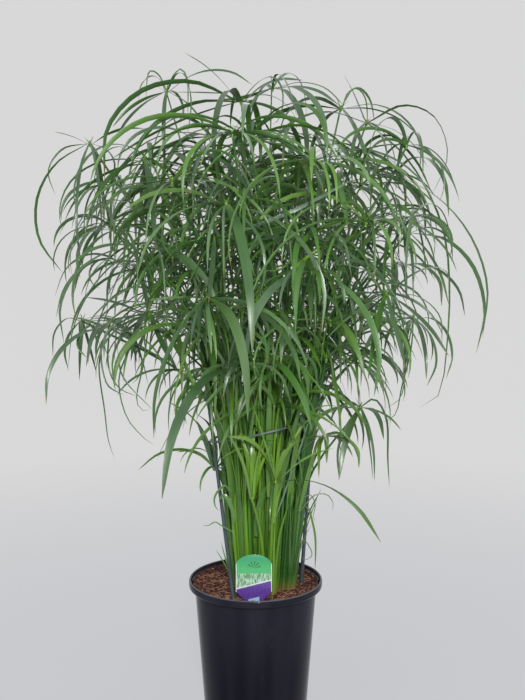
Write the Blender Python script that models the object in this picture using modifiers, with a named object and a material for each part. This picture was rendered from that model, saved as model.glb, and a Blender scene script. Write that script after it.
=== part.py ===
"""Potted umbrella papyrus in a 21 cm plastic nursery container.

Metres, +Z up, origin at the centre of the pot's base, seen from the -Y side.
Eight rootstocks stand on the soil. Each carries seven culms, and nearly every
culm ends in a crown: a small hub with long arching bracts round it.
"""
import math
import random
from itertools import product

import bmesh
import bpy
import numpy as np
from mathutils import Matrix, Vector
from mathutils.bvhtree import BVHTree

# pot: thin walled, with a rim that steps out from the body and is rolled over
RIM_RADIUS = 0.1065
RIM_INNER_RADIUS = 0.1028
RIM_UNDERSIDE = 0.1935
RIM_STEP = 0.0062
POT_HEIGHT = 0.205
BODY_RADIUS = 0.0968
BASE_RADIUS = 0.0820
WALL = 0.0018
INNER_RADIUS = BODY_RADIUS - WALL
FLOOR = 0.0030
POT_STEPS = 32

# growing medium
SOIL_TOP = 0.1922
GAP = 0.0003

# rootstocks and culms
ROOTSTOCK_RADIUS = 0.0160
ROOTSTOCK_HEIGHT = 0.0040
ROOTSTOCKS_ROUND = 7
ROOTSTOCK_SIDES = 7
SECTOR_MIDDLE = 0.602
CLUMP_TURN = math.radians(26)
CULM_INSET = 0.0029
CULM_RADIUS = 0.0038
CULM_TAPER = 0.22
CLUMP_CENTRE = Vector((0.012, 0.0))
CLUMP_SPREAD = 0.038
CULM_FOOT = SOIL_TOP + GAP + ROOTSTOCK_HEIGHT
WAIST_Z = 0.45
WAIST_SPREAD = 1.56
LOW_CROWN = WAIST_Z + 0.07
LOW_LEAN = 0.30
CULMS_APART = 0.0085
SWAPS_TRIED = 6000

# crowns
HUB_RADIUS = 0.0045
HUB_HALF = 0.0016
BRACT_ROOT = HUB_RADIUS * 0.9
BRACT_THICK = 0.0015
BRACT_BEND = 1.15
KEEL_SHARE = 0.35
LONG_BRACT = 0.15
STRONG_CURL = 150
STEPS_PER_RING = 12
BRACTS_APART = 17
MOST_BRACTS = 8
WIDEST_OPENING = 105
NUDGES_TRIED = 1200
CLEARANCE = 0.0008
SHORTER = 0.65
REACH = Vector((0.372, 0.351, 1.042))
LOW_REACH = 0.312
LOW_REACH_Z = 0.70

# support: a wire ring held by two stakes
RING_CENTRE = (0.013, -0.003, 0.446)
RING_RADIUS = 0.0865
RING_TUBE = 0.0021
RING_TILT = (math.radians(-3.4), math.radians(-13.3), 0)
STAKE_FOOT_RADIUS = 0.0036
STAKE_HEAD_RADIUS = 0.0024
STAKE_SLOT = 0.0005
LEFT_STAKE = (Vector((-0.0232, -0.0702, 0.120)), Vector((-0.0775, -0.0468, 0.540)))
RIGHT_STAKE = (Vector((0.0682, 0.0040, 0.120)), Vector((0.0926, 0.0000, 0.478)))

# plant label: a card with an arched top that narrows to a tail in the soil
LABEL_WIDTH = 0.054
LABEL_THICK = 0.0009
LABEL_PLACE = Vector((-0.002, -0.080, 0.204))
LABEL_TOP = 0.062
LABEL_ARCH = 0.0165
LABEL_ARCH_STEPS = 9
LABEL_SHOULDER = 0.006
LABEL_TIP = -0.054
LABEL_TAIL = 0.016
LABEL_TAIL_TOP = -0.012
LABEL_POINT = 0.006
LABEL_LEAN = math.radians(-3.0)
LABEL_SLOT = 0.0009
SLOT_DEPTH = 0.110

# Crowns on the side that is seen: the hub in centimetres, then the bracts that
# give the crown its look. A bract is its bearing (0 right, 90 away from the
# viewer), length in centimetres, launch angle, fall angle, width in
# millimetres and, where it bends sideways, its sweep.
SEEN_CROWNS = (
    ((-3.5, -22, 77), ((285, 24, -25, 90, 12), (175, 14, 30, 40, 9),
                       (215, 17, 0, 80, 7), (350, 23, -10, 105, 7))),
    ((-2, -6, 94), ((200, 30, 30, 105, 10, -10), (175, 23, 10, 85, 8),
                    (220, 24, -20, 35, 7), (260, 26, 15, 140, 13, -15),
                    (145, 14, 50, -30, 3), (335, 10, -10, 50, 6), (10, 10, 50, 10, 7))),
    ((-2.5, -17, 55.5), ((245, 26, 5, 85, 14), (225, 8, -20, 60, 6))),
    ((7.5, -22, 68.5), ((215, 19, -10, 95, 10, 25), (260, 18, 25, 100, 8),
                        (330, 20, -20, 110, 9, -10))),
    ((-6, -22, 65), ((220, 20, -40, 95, 7), (300, 21, -10, 95, 12, -15),
                     (250, 8, -25, 80, 7), (165, 8, 0, 5, 5))),
    ((-25, -3, 88.5), ((205, 24, -25, 140, 7), (155, 7, 25, -15, 3),
                       (180, 12, 5, 130, 3), (265, 22, -35, 125, 5),
                       (290, 20, -35, 85, 5), (30, 9, 40, 0, 5))),
    ((-14, 2, 97.5), ((140, 10, 80, 100, 3), (295, 19, 35, 135, 3), (345, 15, 40, 45, 4),
                      (5, 9, 0, 0, 3), (180, 10, -15, 55, 6), (205, 12, -30, 65, 6),
                      (270, 15, -40, 135, 6), (320, 14, -25, 70, 4))),
    ((2.5, -2, 97), ((195, 8, -30, 0, 6), (5, 12, 25, 55, 5), (340, 11, 5, 45, 6),
                     (290, 21, -10, 110, 10, 20), (315, 18, 0, 105, 8))),
    ((13, -2, 94), ((55, 14, 70, 90, 4), (5, 19, 20, 105, 5), (340, 13, 0, 50, 5),
                    (290, 17, -35, 75, 8))),
    ((16.5, -6, 91), ((110, 12, 55, -45, 3), (320, 24, 30, 140, 8, -10),
                      (340, 14, -30, 70, 7), (295, 13, -25, 115, 8), (15, 12, -5, 65, 3),
                      (240, 12, -25, 110, 8))),
    ((23, -4, 75), ((0, 10, 30, 105, 5), (25, 29, 5, 115, 7, 10), (320, 13, -40, 80, 6),
                    (250, 25, 25, 100, 9), (270, 12, -35, 95, 5))),
    ((18, -16, 65.5), ((25, 18, 40, 30, 6, 40), (175, 8, 10, 30, 6),
                       (210, 11, -25, 40, 8), (355, 12, 10, 105, 4),
                       (330, 12, -30, 60, 8), (275, 14, -40, 45, 7), (250, 15, -35, 60, 9))),
    ((-15.5, -14, 72), ((160, 12, 15, 40, 6), (180, 17, 0, 85, 4), (205, 20, 0, 110, 6),
                        (230, 22, -20, 90, 10), (255, 14, -20, 55, 7))),
    ((-15.5, -8, 62.5), ((170, 10, 25, -5, 5), (210, 11, 10, 105, 6),
                         (235, 11, 5, 110, 5), (295, 14, -40, 20, 8))),
    ((1.5, -16, 57), ((300, 15, -10, 70, 9),)),
    ((3, -9.5, 38), ((150, 11, 80, 50, 8, 20), (205, 12, 85, 5, 7), (70, 8, 80, -60, 6),
                     (20, 11, 75, -45, 5), (315, 21, 20, 55, 6), (345, 10, 50, -15, 4))),
    ((-6, -2, 38.5), ((220, 15, 50, 45, 7, -10), (155, 14, 80, -15, 6),
                      (175, 7, 60, 20, 6), (105, 11, 85, -10, 6, 40))),
    ((16, -5, 48.5), ((235, 12, -40, 80, 9), (285, 12, -35, 95, 4), (0, 7, -10, 55, 4))),
    ((-15.5, -12, 84.5), ((285, 18, -35, 70, 8), (165, 14, -5, 95, 6),
                          (235, 14, -40, 85, 5))),
    ((7, -16, 73.5), ((350, 14, 10, 110, 5),)),
    ((-5.5, -15, 73), ((270, 15, -40, 30, 7),)),
    ((0.5, -15, 66), ((25, 12, 40, -20, 5), (300, 17, -20, 65, 8))),
    ((4, -10, 62.5), ((180, 8, 20, 5, 5),)),
    ((-23, 0, 60.5), ((180, 9, 25, 150, 6), (160, 6, 15, -15, 5))),
    ((10.5, -4.5, 44), ()),
    ((-13, 4, 83.5), ((295, 13, -35, 80, 6), (175, 10, 20, 65, 5))),
    ((22, 3, 85), ((340, 32, -25, 105, 6),)),
    ((24.5, -2, 62), ((280, 11, -30, 95, 7), (320, 12, -35, 130, 6),
                      (35, 16, 10, 130, 5))),
    ((-28, 3, 61.5), ((295, 12, -40, 40, 6), (165, 9, -35, 115, 5), (205, 15, 0, 105, 11))),
    ((10.5, -12, 83.5), ((250, 11, -25, 105, 8), (285, 12, -35, 75, 8),
                         (335, 11, 0, 80, 7))),
    ((-9, -2, 70.5), ()),
    # a young crown that is still closed, in front of the support ring
    ((-0.4, -9.8, 35.6), ((8, 8, 84, -62, 5), (80, 7, 86, -70, 5), (152, 8, 84, -62, 5),
                          (224, 12, 84, -48, 5), (296, 11, 84, -52, 5))),
)
# tiers of crowns on the far side: height, distance from the middle, bearings
FAR_TIERS = (
    (0.920, 0.120, (52, 134)),
    (0.850, 0.185, (38, 91, 142)),
    (0.765, 0.232, (66, 116)),
    (0.706, 0.250, (26, 158)),
    (0.634, 0.255, (50, 93, 135)),
    (0.800, 0.065, (66,)),
)
# young culms that are still pointed and have no crown: their tips, in centimetres
SHOOT_TIPS = (
    (5, -7, 34), (-3.5, -6, 44), (7.5, -5, 42), (2, -6, 50), (8.5, 2, 46), (-6, 3, 47),
    (-2, 7, 50), (5, 7, 48), (0, 0, 53), (3, -3, 58), (4.5, 2, 60),
)


def crown_hubs():
    """Every hub's place, the seen ones first."""
    hubs = [Vector(hub) / 100 for hub, _ in SEEN_CROWNS]
    for height, reach, bearings in FAR_TIERS:
        for bearing in bearings:
            out = flat_direction(bearing) * reach
            hubs.append(Vector((CLUMP_CENTRE.x + out.x, CLUMP_CENTRE.y + out.y, height)))
    return hubs


def flat_direction(bearing):
    """A level direction from its bearing in degrees."""
    turn = math.radians(bearing)
    return Vector((math.cos(turn), math.sin(turn), 0))


# culms

def rootstock_centres():
    """The middle rootstock and those round it."""
    centres = [CLUMP_CENTRE.copy()]
    for i in range(ROOTSTOCKS_ROUND):
        turn = 2 * math.pi * i / ROOTSTOCKS_ROUND + CLUMP_TURN
        centres.append(CLUMP_CENTRE + Vector((math.cos(turn), math.sin(turn))) * CLUMP_SPREAD)
    return centres


def culm_places():
    """Where a culm can stand: the middle of each sector of each rootstock."""
    places = []
    for number, centre in enumerate(rootstock_centres()):
        for sector in range(ROOTSTOCK_SIDES):
            turn = 2 * math.pi * (sector + 0.5) / ROOTSTOCK_SIDES
            out = Vector((math.cos(turn), math.sin(turn))) * ROOTSTOCK_RADIUS * SECTOR_MIDDLE
            places.append((number, sector, centre + out))
    return places


def culm_line(base, top):
    """Points up a culm: straight to the waist, then bending out to its crown."""
    if top.z < LOW_CROWN:
        points = []
        for u in (0.3, 0.65, 1.0):
            xy = base + (top.xy - base) * (LOW_LEAN * u + (1 - LOW_LEAN) * u ** 3)
            points.append(Vector((xy.x, xy.y, CULM_FOOT + (top.z - CULM_FOOT) * u)))
        return points
    waist = CLUMP_CENTRE + (base - CLUMP_CENTRE) * WAIST_SPREAD
    slope = (waist - base) / (WAIST_Z - CULM_FOOT)
    rise = top.z - WAIST_Z
    sideways = top.xy - waist - slope * rise
    knee = base + slope * 0.12
    points = [Vector((knee.x, knee.y, CULM_FOOT + 0.12)), Vector((waist.x, waist.y, WAIST_Z))]
    for u in (0.52, 1.0):
        xy = waist + slope * rise * u + sideways * u * u
        points.append(Vector((xy.x, xy.y, WAIST_Z + rise * u)))
    return points


def wanted_base(top):
    """Where a culm would like to stand: towards the side its top leans to."""
    away = top.xy - CLUMP_CENTRE
    if top.z < LOW_CROWN:
        inward = min(away.length, 0.078) / WAIST_SPREAD
    else:
        inward = min(0.048, away.length * 0.19 + 0.004)
    return CLUMP_CENTRE + away.normalized() * inward


def share_out_places(tops, places):
    """Give each culm top a place, so that the culms fan out and don't cross."""
    heights = np.linspace(0.21, 1.0, 40)
    wanted = np.array([wanted_base(top) for top in tops])
    bases = np.array([place for _, _, place in places])
    track = np.full((len(tops), len(places), len(heights), 2), np.nan)
    for i, top in enumerate(tops):
        for j, (_, _, base) in enumerate(places):
            line = [Vector((base.x, base.y, CULM_FOOT))] + culm_line(base, top)
            levels = [p.z for p in line]
            below = heights <= levels[-1] + 0.003
            for axis in (0, 1):
                values = np.interp(heights, levels, [p[axis] for p in line])
                track[i, j, below, axis] = values[below]

    def cost(i, chosen):
        gaps = np.linalg.norm(track[np.arange(len(tops)), chosen] - track[i, chosen[i]], axis=2)
        gaps[i] = np.nan
        crowding = np.nansum(np.maximum(0, CULMS_APART - gaps)) * 400
        return crowding + ((bases[chosen[i]] - wanted[i]) ** 2).sum() * 4000

    chosen = np.full(len(tops), -1)
    free = list(range(len(places)))
    middle = np.array(CLUMP_CENTRE)
    for i in sorted(range(len(tops)), key=lambda k: -np.linalg.norm(wanted[k] - middle)):
        chosen[i] = min(free, key=lambda j: ((bases[j] - wanted[i]) ** 2).sum())
        free.remove(chosen[i])
    chance = random.Random(7)
    for _ in range(SWAPS_TRIED):
        i, k = chance.sample(range(len(tops)), 2)
        before = cost(i, chosen) + cost(k, chosen)
        chosen[i], chosen[k] = chosen[k], chosen[i]
        if cost(i, chosen) + cost(k, chosen) > before - 1e-6:
            chosen[i], chosen[k] = chosen[k], chosen[i]
    return chosen


# bracts

def bract_rings(hub, bract):
    """Four-cornered rings along one bract, and its tip.

    It leaves the hub along its bearing, climbs at its launch angle and bends
    down to its fall angle; the sweep turns it sideways on the way.
    """
    bearing, length, launch, fall, width, sweep = bract
    strong = length >= LONG_BRACT or launch + fall > STRONG_CURL
    steps = STEPS_PER_RING * (4 if strong else 3)
    place = hub + flat_direction(bearing) * BRACT_ROOT
    rings = []
    for i in range(1, steps + 1):
        t = (i - 0.5) / steps
        climb = math.radians(launch - (launch + fall) * t ** BRACT_BEND)
        heading = flat_direction(bearing + sweep * t)
        along = heading * math.cos(climb) + Vector((0, 0, math.sin(climb)))
        place = place + along * (length / steps)
        if i % STEPS_PER_RING or i == steps:
            continue
        done = i / steps
        side = Vector((-heading.y, heading.x, 0))
        up = along.cross(side).normalized() * BRACT_THICK / 2
        half = side * width / 2 * (0.80 if done < 0.3 else 1.0 if done < 0.7 else 0.62)
        keel = half * KEEL_SHARE
        rings.append((place + half + up, place - half + up, place - keel - up,
                      place + keel - up))
    return rings, place


def strip_tree(hub, bract, rings, tip, from_hub):
    """A bract's surface, a little swollen, for testing what it touches."""
    out = flat_direction(bract[0])
    side = Vector((-out.y, out.x, 0)) * 0.0018
    root = hub + out * BRACT_ROOT
    up = Vector((0, 0, HUB_HALF))
    loops = list(rings)
    if from_hub:
        loops.insert(0, (root + side + up, root - side + up, root - side - up, root + side - up))
    verts, faces = [], []
    for loop in loops:
        centre = sum(loop, Vector()) / 4
        verts += [p + (p - centre).normalized() * CLEARANCE for p in loop]
    for i in range(len(loops) - 1):
        for q in range(4):
            a, b = i * 4 + q, i * 4 + (q + 1) % 4
            faces += [(a, b, b + 4), (a, b + 4, a + 4)]
    last = (len(loops) - 1) * 4
    verts.append(tip)
    faces += [(last + q, last + (q + 1) % 4, len(verts) - 1) for q in range(4)]
    return BVHTree.FromPolygons(verts, faces)


def tube_tree(points, radius, sides):
    """An upright tube's surface, for the same test."""
    verts, faces = [], []
    for point in points:
        verts += [point + flat_direction(360 * q / sides) * radius for q in range(sides)]
    for i in range(len(points) - 1):
        for q in range(sides):
            a, b = i * sides + q, i * sides + (q + 1) % sides
            faces.append((a, b, b + sides, a + sides))
    faces += [tuple(range(sides)), tuple(range(len(verts) - sides, len(verts)))]
    return BVHTree.FromPolygons(verts, faces)


def nudges():
    """Small changes of bearing, launch, fall and sweep, the smallest first."""
    choices = product((0, -2, 2, -4, 4, -7, 7, -10, 10, -14, 14, -19, 19),
                      (0, -3, 3, -6, 6, -10, 10), (0, 8, -8, 16), (0, -6, 6, -12, 12))
    return sorted(choices, key=lambda c: abs(c[0]) + abs(c[1]) * 0.8
                  + abs(c[2]) * 0.35 + abs(c[3]) * 0.5)[:NUDGES_TRIED]


def apart(a, b):
    """The angle between two bearings."""
    turn = abs(a - b) % 360
    return min(turn, 360 - turn)


def in_reach(rings, tip):
    """Whether a bract stays in the plant's outline, which draws in low on the left."""
    points = [p for ring in rings for p in ring] + [tip]
    return all(abs(p.x) < REACH.x and abs(p.y) < REACH.y and p.z < REACH.z
               and (p.x > -LOW_REACH or p.z > LOW_REACH_Z) for p in points)


def open_bearings(taken, enough, chance):
    """Bearings that close a crown's widest openings, until it looks full."""
    if not taken:
        first = chance.uniform(0, 360)
        return [first + 60 * i + chance.uniform(-9, 9) for i in range(6)]
    taken = sorted(a % 360 for a in taken)
    bearings = []
    while len(taken) < MOST_BRACTS:
        spans = [((taken[(i + 1) % len(taken)] - a) % 360 or 360, a)
                 for i, a in enumerate(taken)]
        span, start = max(spans)
        if (len(taken) >= enough and span < WIDEST_OPENING) or span < 56:
            break
        bearings.append(start + span / 2 + chance.uniform(-5, 5))
        taken = sorted(taken + [bearings[-1] % 360])
    return bearings


def filling_bracts(hub, taken, chance):
    """Bracts for the open bearings; a lower crown's are shorter."""
    if hub.z > 0.8:
        enough, shortest, longest = 6, 0.15, 0.24
    elif hub.z > 0.6:
        enough, shortest, longest = 6, 0.12, 0.20
    else:
        enough, shortest, longest = 5, 0.07, 0.12
    return [(bearing % 360, chance.uniform(shortest, longest), chance.uniform(-5, 32),
             chance.uniform(70, 108), chance.choice((6, 7, 8, 9)) / 1000,
             chance.uniform(-14, 14))
            for bearing in open_bearings(taken, enough, chance)]


def grow_bracts(hubs, culms, fixed):
    """All crowns' bracts, each nudged until it touches nothing else."""
    rise = Vector((0, 0, HUB_HALF + 0.0002))
    hub_trees = [tube_tree([h - rise, h + rise], HUB_RADIUS + CLEARANCE, 10) for h in hubs]
    grown = [[] for _ in hubs]
    whole = [[] for _ in hubs]
    outer = [[] for _ in hubs]
    steps = nudges()

    def touches(k, near, far):
        others = [t for j, t in enumerate(culms) if j != k] + fixed
        others += [t for j, t in enumerate(hub_trees) if j != k]
        others += [t for j, trees in enumerate(whole) if j != k for t in trees]
        if any(near.overlap(t) for t in others + outer[k]):
            return True
        return any(far.overlap(t) for t in [culms[k], hub_trees[k]] + whole[k])

    def place(k, bract):
        bearing, length, launch, fall, width, sweep = bract
        for share, (turn, lift, drop, swing) in product((1, SHORTER), steps):
            trial = (bearing + turn, length * share, launch + lift, fall + drop, width,
                     sweep + swing)
            if any(apart(trial[0], other[0]) < BRACTS_APART for other in grown[k]):
                continue
            rings, tip = bract_rings(hubs[k], trial)
            if not in_reach(rings, tip):
                continue
            near = strip_tree(hubs[k], trial, rings, tip, True)
            far = strip_tree(hubs[k], trial, rings, tip, False)
            if not touches(k, near, far):
                grown[k].append(trial)
                whole[k].append(near)
                outer[k].append(far)
                return

    for k, (_, bracts) in enumerate(SEEN_CROWNS):
        for bearing, length, launch, fall, width, *sweep in bracts:
            place(k, (bearing, length / 100, launch, fall, width / 1000, *(sweep or [0])))
    chance = random.Random(11)
    for k, hub in enumerate(hubs):
        for bract in filling_bracts(hub, [b[0] for b in grown[k]], chance):
            place(k, bract)
    return grown


# building

def material(name, colour, roughness):
    mat = bpy.data.materials.new(name)
    mat.use_nodes = True
    shader = mat.node_tree.nodes["Principled BSDF"]
    shader.inputs["Base Color"].default_value = (*colour, 1)
    shader.inputs["Roughness"].default_value = roughness
    shader.inputs["Metallic"].default_value = 0.0
    mat.diffuse_color = (*colour, 1)
    return mat


def keep(obj, name, mat, collection):
    """Name an object, give it its material and move it to a collection."""
    obj.name = name
    for old in list(obj.users_collection):
        old.objects.unlink(obj)
    collection.objects.link(obj)
    obj.data.materials.clear()
    obj.data.materials.append(mat)
    return obj


def keep_cutter(obj, name, collection):
    obj.name = name
    for old in list(obj.users_collection):
        old.objects.unlink(obj)
    collection.objects.link(obj)
    obj.display_type = "WIRE"
    obj.hide_render = True
    return obj


def smooth(obj):
    obj.data.shade_smooth()
    obj.data.set_sharp_from_angle(angle=math.radians(40))
    return obj


def from_bmesh(bm, location):
    bmesh.ops.recalc_face_normals(bm, faces=bm.faces)
    mesh = bpy.data.meshes.new("solid")
    bm.to_mesh(mesh)
    bm.free()
    obj = bpy.data.objects.new("solid", mesh)
    obj.location = location
    bpy.context.scene.collection.objects.link(obj)
    return obj


def turned(profile):
    """A half outline turned round the Z axis with a Screw modifier."""
    mesh = bpy.data.meshes.new("profile")
    mesh.from_pydata([(r, 0, z) for r, z in profile],
                     [(i, i + 1) for i in range(len(profile) - 1)], [])
    obj = bpy.data.objects.new("profile", mesh)
    bpy.context.scene.collection.objects.link(obj)
    screw = obj.modifiers.new("turn", "SCREW")
    screw.steps = screw.render_steps = POT_STEPS
    screw.use_smooth_shade = True
    screw.use_merge_vertices = True
    screw.merge_threshold = 0.00002
    return obj


def pot():
    lip = POT_HEIGHT - 0.0016
    return turned([
        (0, FLOOR), (BASE_RADIUS - WALL, FLOOR), (INNER_RADIUS, SOIL_TOP - 0.004),
        (INNER_RADIUS, RIM_UNDERSIDE + 0.0010),
        (RIM_INNER_RADIUS, RIM_UNDERSIDE + RIM_STEP), (RIM_INNER_RADIUS, lip),
        (RIM_INNER_RADIUS + 0.0014, POT_HEIGHT),
        (RIM_RADIUS - 0.0022, POT_HEIGHT), (RIM_RADIUS, POT_HEIGHT - 0.0028),
        (RIM_RADIUS, RIM_UNDERSIDE + 0.0022), (RIM_RADIUS - 0.0012, RIM_UNDERSIDE),
        (BODY_RADIUS, RIM_UNDERSIDE), (BASE_RADIUS, 0.004), (BASE_RADIUS - 0.004, 0), (0, 0)])


def rod(ends, foot_radius, head_radius):
    low, high = ends
    line = high - low
    bpy.ops.mesh.primitive_cone_add(
        vertices=8, radius1=foot_radius, radius2=head_radius, depth=line.length,
        location=(low + high) / 2, rotation=line.to_track_quat("Z", "Y").to_euler())
    return smooth(bpy.context.active_object)


def stake(ends):
    return rod(ends, STAKE_FOOT_RADIUS, STAKE_HEAD_RADIUS)


def ring():
    bpy.ops.mesh.primitive_torus_add(
        major_segments=28, minor_segments=5, major_radius=RING_RADIUS,
        minor_radius=RING_TUBE, location=RING_CENTRE, rotation=RING_TILT)
    return smooth(bpy.context.active_object)


def stake_slot(ends):
    foot, head = ends
    along = (head - foot).normalized()
    radius = STAKE_FOOT_RADIUS + STAKE_SLOT
    return rod((foot - along * STAKE_SLOT, foot + along * SLOT_DEPTH), radius, radius)


def label_slot():
    bpy.ops.mesh.primitive_cube_add(size=1, rotation=(LABEL_LEAN, 0, 0))
    slot = bpy.context.active_object
    slot.scale = (LABEL_TAIL + 2 * LABEL_SLOT, LABEL_THICK + 2 * LABEL_SLOT, SLOT_DEPTH)
    middle = Vector((0, 0, LABEL_TIP - LABEL_SLOT + SLOT_DEPTH / 2))
    slot.location = LABEL_PLACE + Matrix.Rotation(LABEL_LEAN, 3, "X") @ middle
    return slot


def soil(cutters):
    """The medium fills the pot; the stakes and the label stand in cut slots."""
    edge = INNER_RADIUS - GAP / math.cos(math.pi / POT_STEPS)
    foot = edge - INNER_RADIUS + BASE_RADIUS - WALL
    obj = turned([(0, SOIL_TOP), (0.070, SOIL_TOP), (edge, SOIL_TOP - 0.0012),
                  (edge, SOIL_TOP - 0.004), (foot, FLOOR + GAP), (0, FLOOR + GAP)])
    for name, slot in (("stake_slot_left", stake_slot(LEFT_STAKE)),
                       ("stake_slot_right", stake_slot(RIGHT_STAKE)),
                       ("label_slot", label_slot())):
        cut = obj.modifiers.new(name, "BOOLEAN")
        cut.operation = "DIFFERENCE"
        cut.solver = "EXACT"
        cut.object = keep_cutter(slot, name, cutters)
    return obj


def label():
    """A flat outline with a half ellipse on top and a pointed tail."""
    half, tail, spring = LABEL_WIDTH / 2, LABEL_TAIL / 2, LABEL_TOP - LABEL_ARCH
    right = [(0, LABEL_TIP), (tail, LABEL_TIP + LABEL_POINT), (tail, LABEL_TAIL_TOP),
             (half, LABEL_SHOULDER)]
    for i in range(LABEL_ARCH_STEPS):
        turn = math.pi / 2 * i / LABEL_ARCH_STEPS
        right.append((half * math.cos(turn), spring + LABEL_ARCH * math.sin(turn)))
    outline = right + [(0, LABEL_TOP)] + [(-x, y) for x, y in reversed(right[1:])]
    curve = bpy.data.curves.new("outline", "CURVE")
    curve.dimensions = "2D"
    curve.fill_mode = "BOTH"
    curve.extrude = LABEL_THICK / 2
    spline = curve.splines.new("POLY")
    spline.points.add(len(outline) - 1)
    for point, (x, y) in zip(spline.points, outline):
        point.co = (x, y, 0, 1)
    spline.use_cyclic_u = True
    obj = bpy.data.objects.new("outline", curve)
    obj.location = LABEL_PLACE
    obj.rotation_euler = (math.pi / 2 + LABEL_LEAN, 0, 0)
    bpy.context.scene.collection.objects.link(obj)
    return obj


def pushed_out(bm, face, corners):
    """Extrude one face and put each new corner on its place in the next ring."""
    old = [v.co.copy() for v in face.verts]
    new = bmesh.ops.extrude_discrete_faces(bm, faces=[face])["faces"][0]
    order = [min(range(len(old)), key=lambda i: (old[i] - v.co).length) for v in new.verts]
    for v, i in zip(new.verts, order):
        v.co = corners[i]
    return new


def pointed(bm, face, tip):
    bmesh.ops.poke(bm, faces=[face])["verts"][0].co = tip


def rootstock(number, centre, culms):
    """A rootstock disc with a culm drawn up from each of its sectors."""
    bm = bmesh.new()
    bmesh.ops.create_cone(bm, cap_ends=True, cap_tris=True, segments=ROOTSTOCK_SIDES,
                          radius1=ROOTSTOCK_RADIUS, radius2=ROOTSTOCK_RADIUS,
                          depth=ROOTSTOCK_HEIGHT,
                          matrix=Matrix.Rotation(-math.pi / 2, 4, "Z"))
    bm.normal_update()
    origin = Vector((centre.x, centre.y, CULM_FOOT - ROOTSTOCK_HEIGHT / 2))
    for face in [f for f in bm.faces if f.normal.z > 0.9]:
        bmesh.ops.inset_individual(bm, faces=[face], thickness=CULM_INSET,
                                   use_even_offset=True)
        middle = face.calc_center_median()
        turn = math.atan2(middle.y, middle.x) % (2 * math.pi)
        line, crowned = culms[number, int(turn / (2 * math.pi) * ROOTSTOCK_SIDES)]
        shape = [v.co - middle for v in face.verts]
        for i, point in enumerate(line, 1):
            taper = 1.0 - CULM_TAPER * i / len(line)
            if i < len(line) or crowned:
                face = pushed_out(bm, face, [point - origin + c * taper for c in shape])
            else:
                pointed(bm, face, point - origin)
    return smooth(from_bmesh(bm, origin))


def crown(hub, bracts):
    """A hub whose sides are drawn out into tapering bracts."""
    bracts = sorted((bearing % 360, *rest) for bearing, *rest in bracts)
    count = len(bracts)
    bm = bmesh.new()
    bmesh.ops.create_cone(bm, cap_ends=True, segments=count, radius1=HUB_RADIUS,
                          radius2=HUB_RADIUS, depth=2 * HUB_HALF)
    corners = []
    for i, bract in enumerate(bracts):
        after = bracts[(i + 1) % count][0] + (360 if i + 1 == count else 0)
        corners.append(flat_direction((bract[0] + after) / 2) * HUB_RADIUS)
    for v in bm.verts:
        slot = round(math.atan2(-v.co.x, v.co.y) / (2 * math.pi) * count) % count
        v.co = corners[slot] + Vector((0, 0, v.co.z))
    sides = [f for f in bm.faces if len({round(v.co.z, 5) for v in f.verts}) == 2]
    for i, bract in enumerate(bracts):
        between = (corners[i] + corners[i - 1]) / 2
        face = min(sides, key=lambda f: (f.calc_center_median() - between).length)
        sides.remove(face)
        out = flat_direction(bract[0])
        side = Vector((-out.y, out.x, 0))
        rings, tip = bract_rings(Vector(), bract)
        order = []
        for v in face.verts:
            ahead = (v.co - between).dot(side) > 0
            order.append((0 if ahead else 1) if v.co.z > 0 else (3 if ahead else 2))
        for corner_ring in rings:
            face = pushed_out(bm, face, [corner_ring[q] for q in order])
        pointed(bm, face, tip)
    return from_bmesh(bm, hub)


def main():
    for obj in list(bpy.data.objects):
        bpy.data.objects.remove(obj, do_unlink=True)
    plant = bpy.data.collections.new("potted_papyrus")
    cutters = bpy.data.collections.new("cutters")
    bpy.context.scene.collection.children.link(plant)
    bpy.context.scene.collection.children.link(cutters)

    black = material("black_pot_plastic", (0.012, 0.012, 0.013), 0.35)
    container = keep(pot(), "pot", black, plant)
    keep(soil(cutters), "soil", material("coir_and_bark", (0.085, 0.040, 0.018), 0.95), plant)
    card = material("printed_card", (0.55, 0.56, 0.48), 0.40)
    support = [keep(label(), "plant_label", card, plant)]
    for name, shape in (("support_ring", ring()), ("stake_left", stake(LEFT_STAKE)),
                        ("stake_right", stake(RIGHT_STAKE))):
        grey = material(name + "_plastic", (0.10, 0.13, 0.13), 0.45)
        support.append(keep(shape, name, grey, plant))

    hubs = crown_hubs()
    under = Vector((0, 0, HUB_HALF + GAP))
    tops = [hub - under for hub in hubs] + [Vector(tip) / 100 for tip in SHOOT_TIPS]
    places = culm_places()
    chosen = share_out_places(tops, places)
    culms, culm_trees = {}, []
    for i, top in enumerate(tops):
        number, sector, base = places[chosen[i]]
        line = culm_line(base, top)
        culms[number, sector] = (line, i < len(hubs))
        foot = Vector((base.x, base.y, CULM_FOOT))
        culm_trees.append(tube_tree([foot] + line, CULM_RADIUS, 6))
    for number, centre in enumerate(rootstock_centres()):
        green = material("culm_green_%d" % (number + 1), (0.10, 0.24, 0.03), 0.50)
        keep(rootstock(number, centre, culms), "stem_clump_%d" % (number + 1), green, plant)

    evaluated = bpy.context.evaluated_depsgraph_get()
    fixed = []
    for obj in support + [container]:
        mesh = obj.evaluated_get(evaluated).to_mesh()
        verts = [obj.matrix_world @ v.co for v in mesh.vertices]
        fixed.append(BVHTree.FromPolygons(verts, [tuple(p.vertices) for p in mesh.polygons],
                                          epsilon=CLEARANCE))
    for i, bracts in enumerate(grow_bracts(hubs, culm_trees, fixed)):
        name = "leaf_crown_%02d" % (i + 1)
        green = material("bract_green_%02d" % (i + 1), (0.05, 0.16, 0.03), 0.45)
        keep(crown(hubs[i], bracts), name, green, plant)


main()
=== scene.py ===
import math
import random

import bmesh
import bpy
import numpy as np
from mathutils import Matrix, Vector, noise


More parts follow.
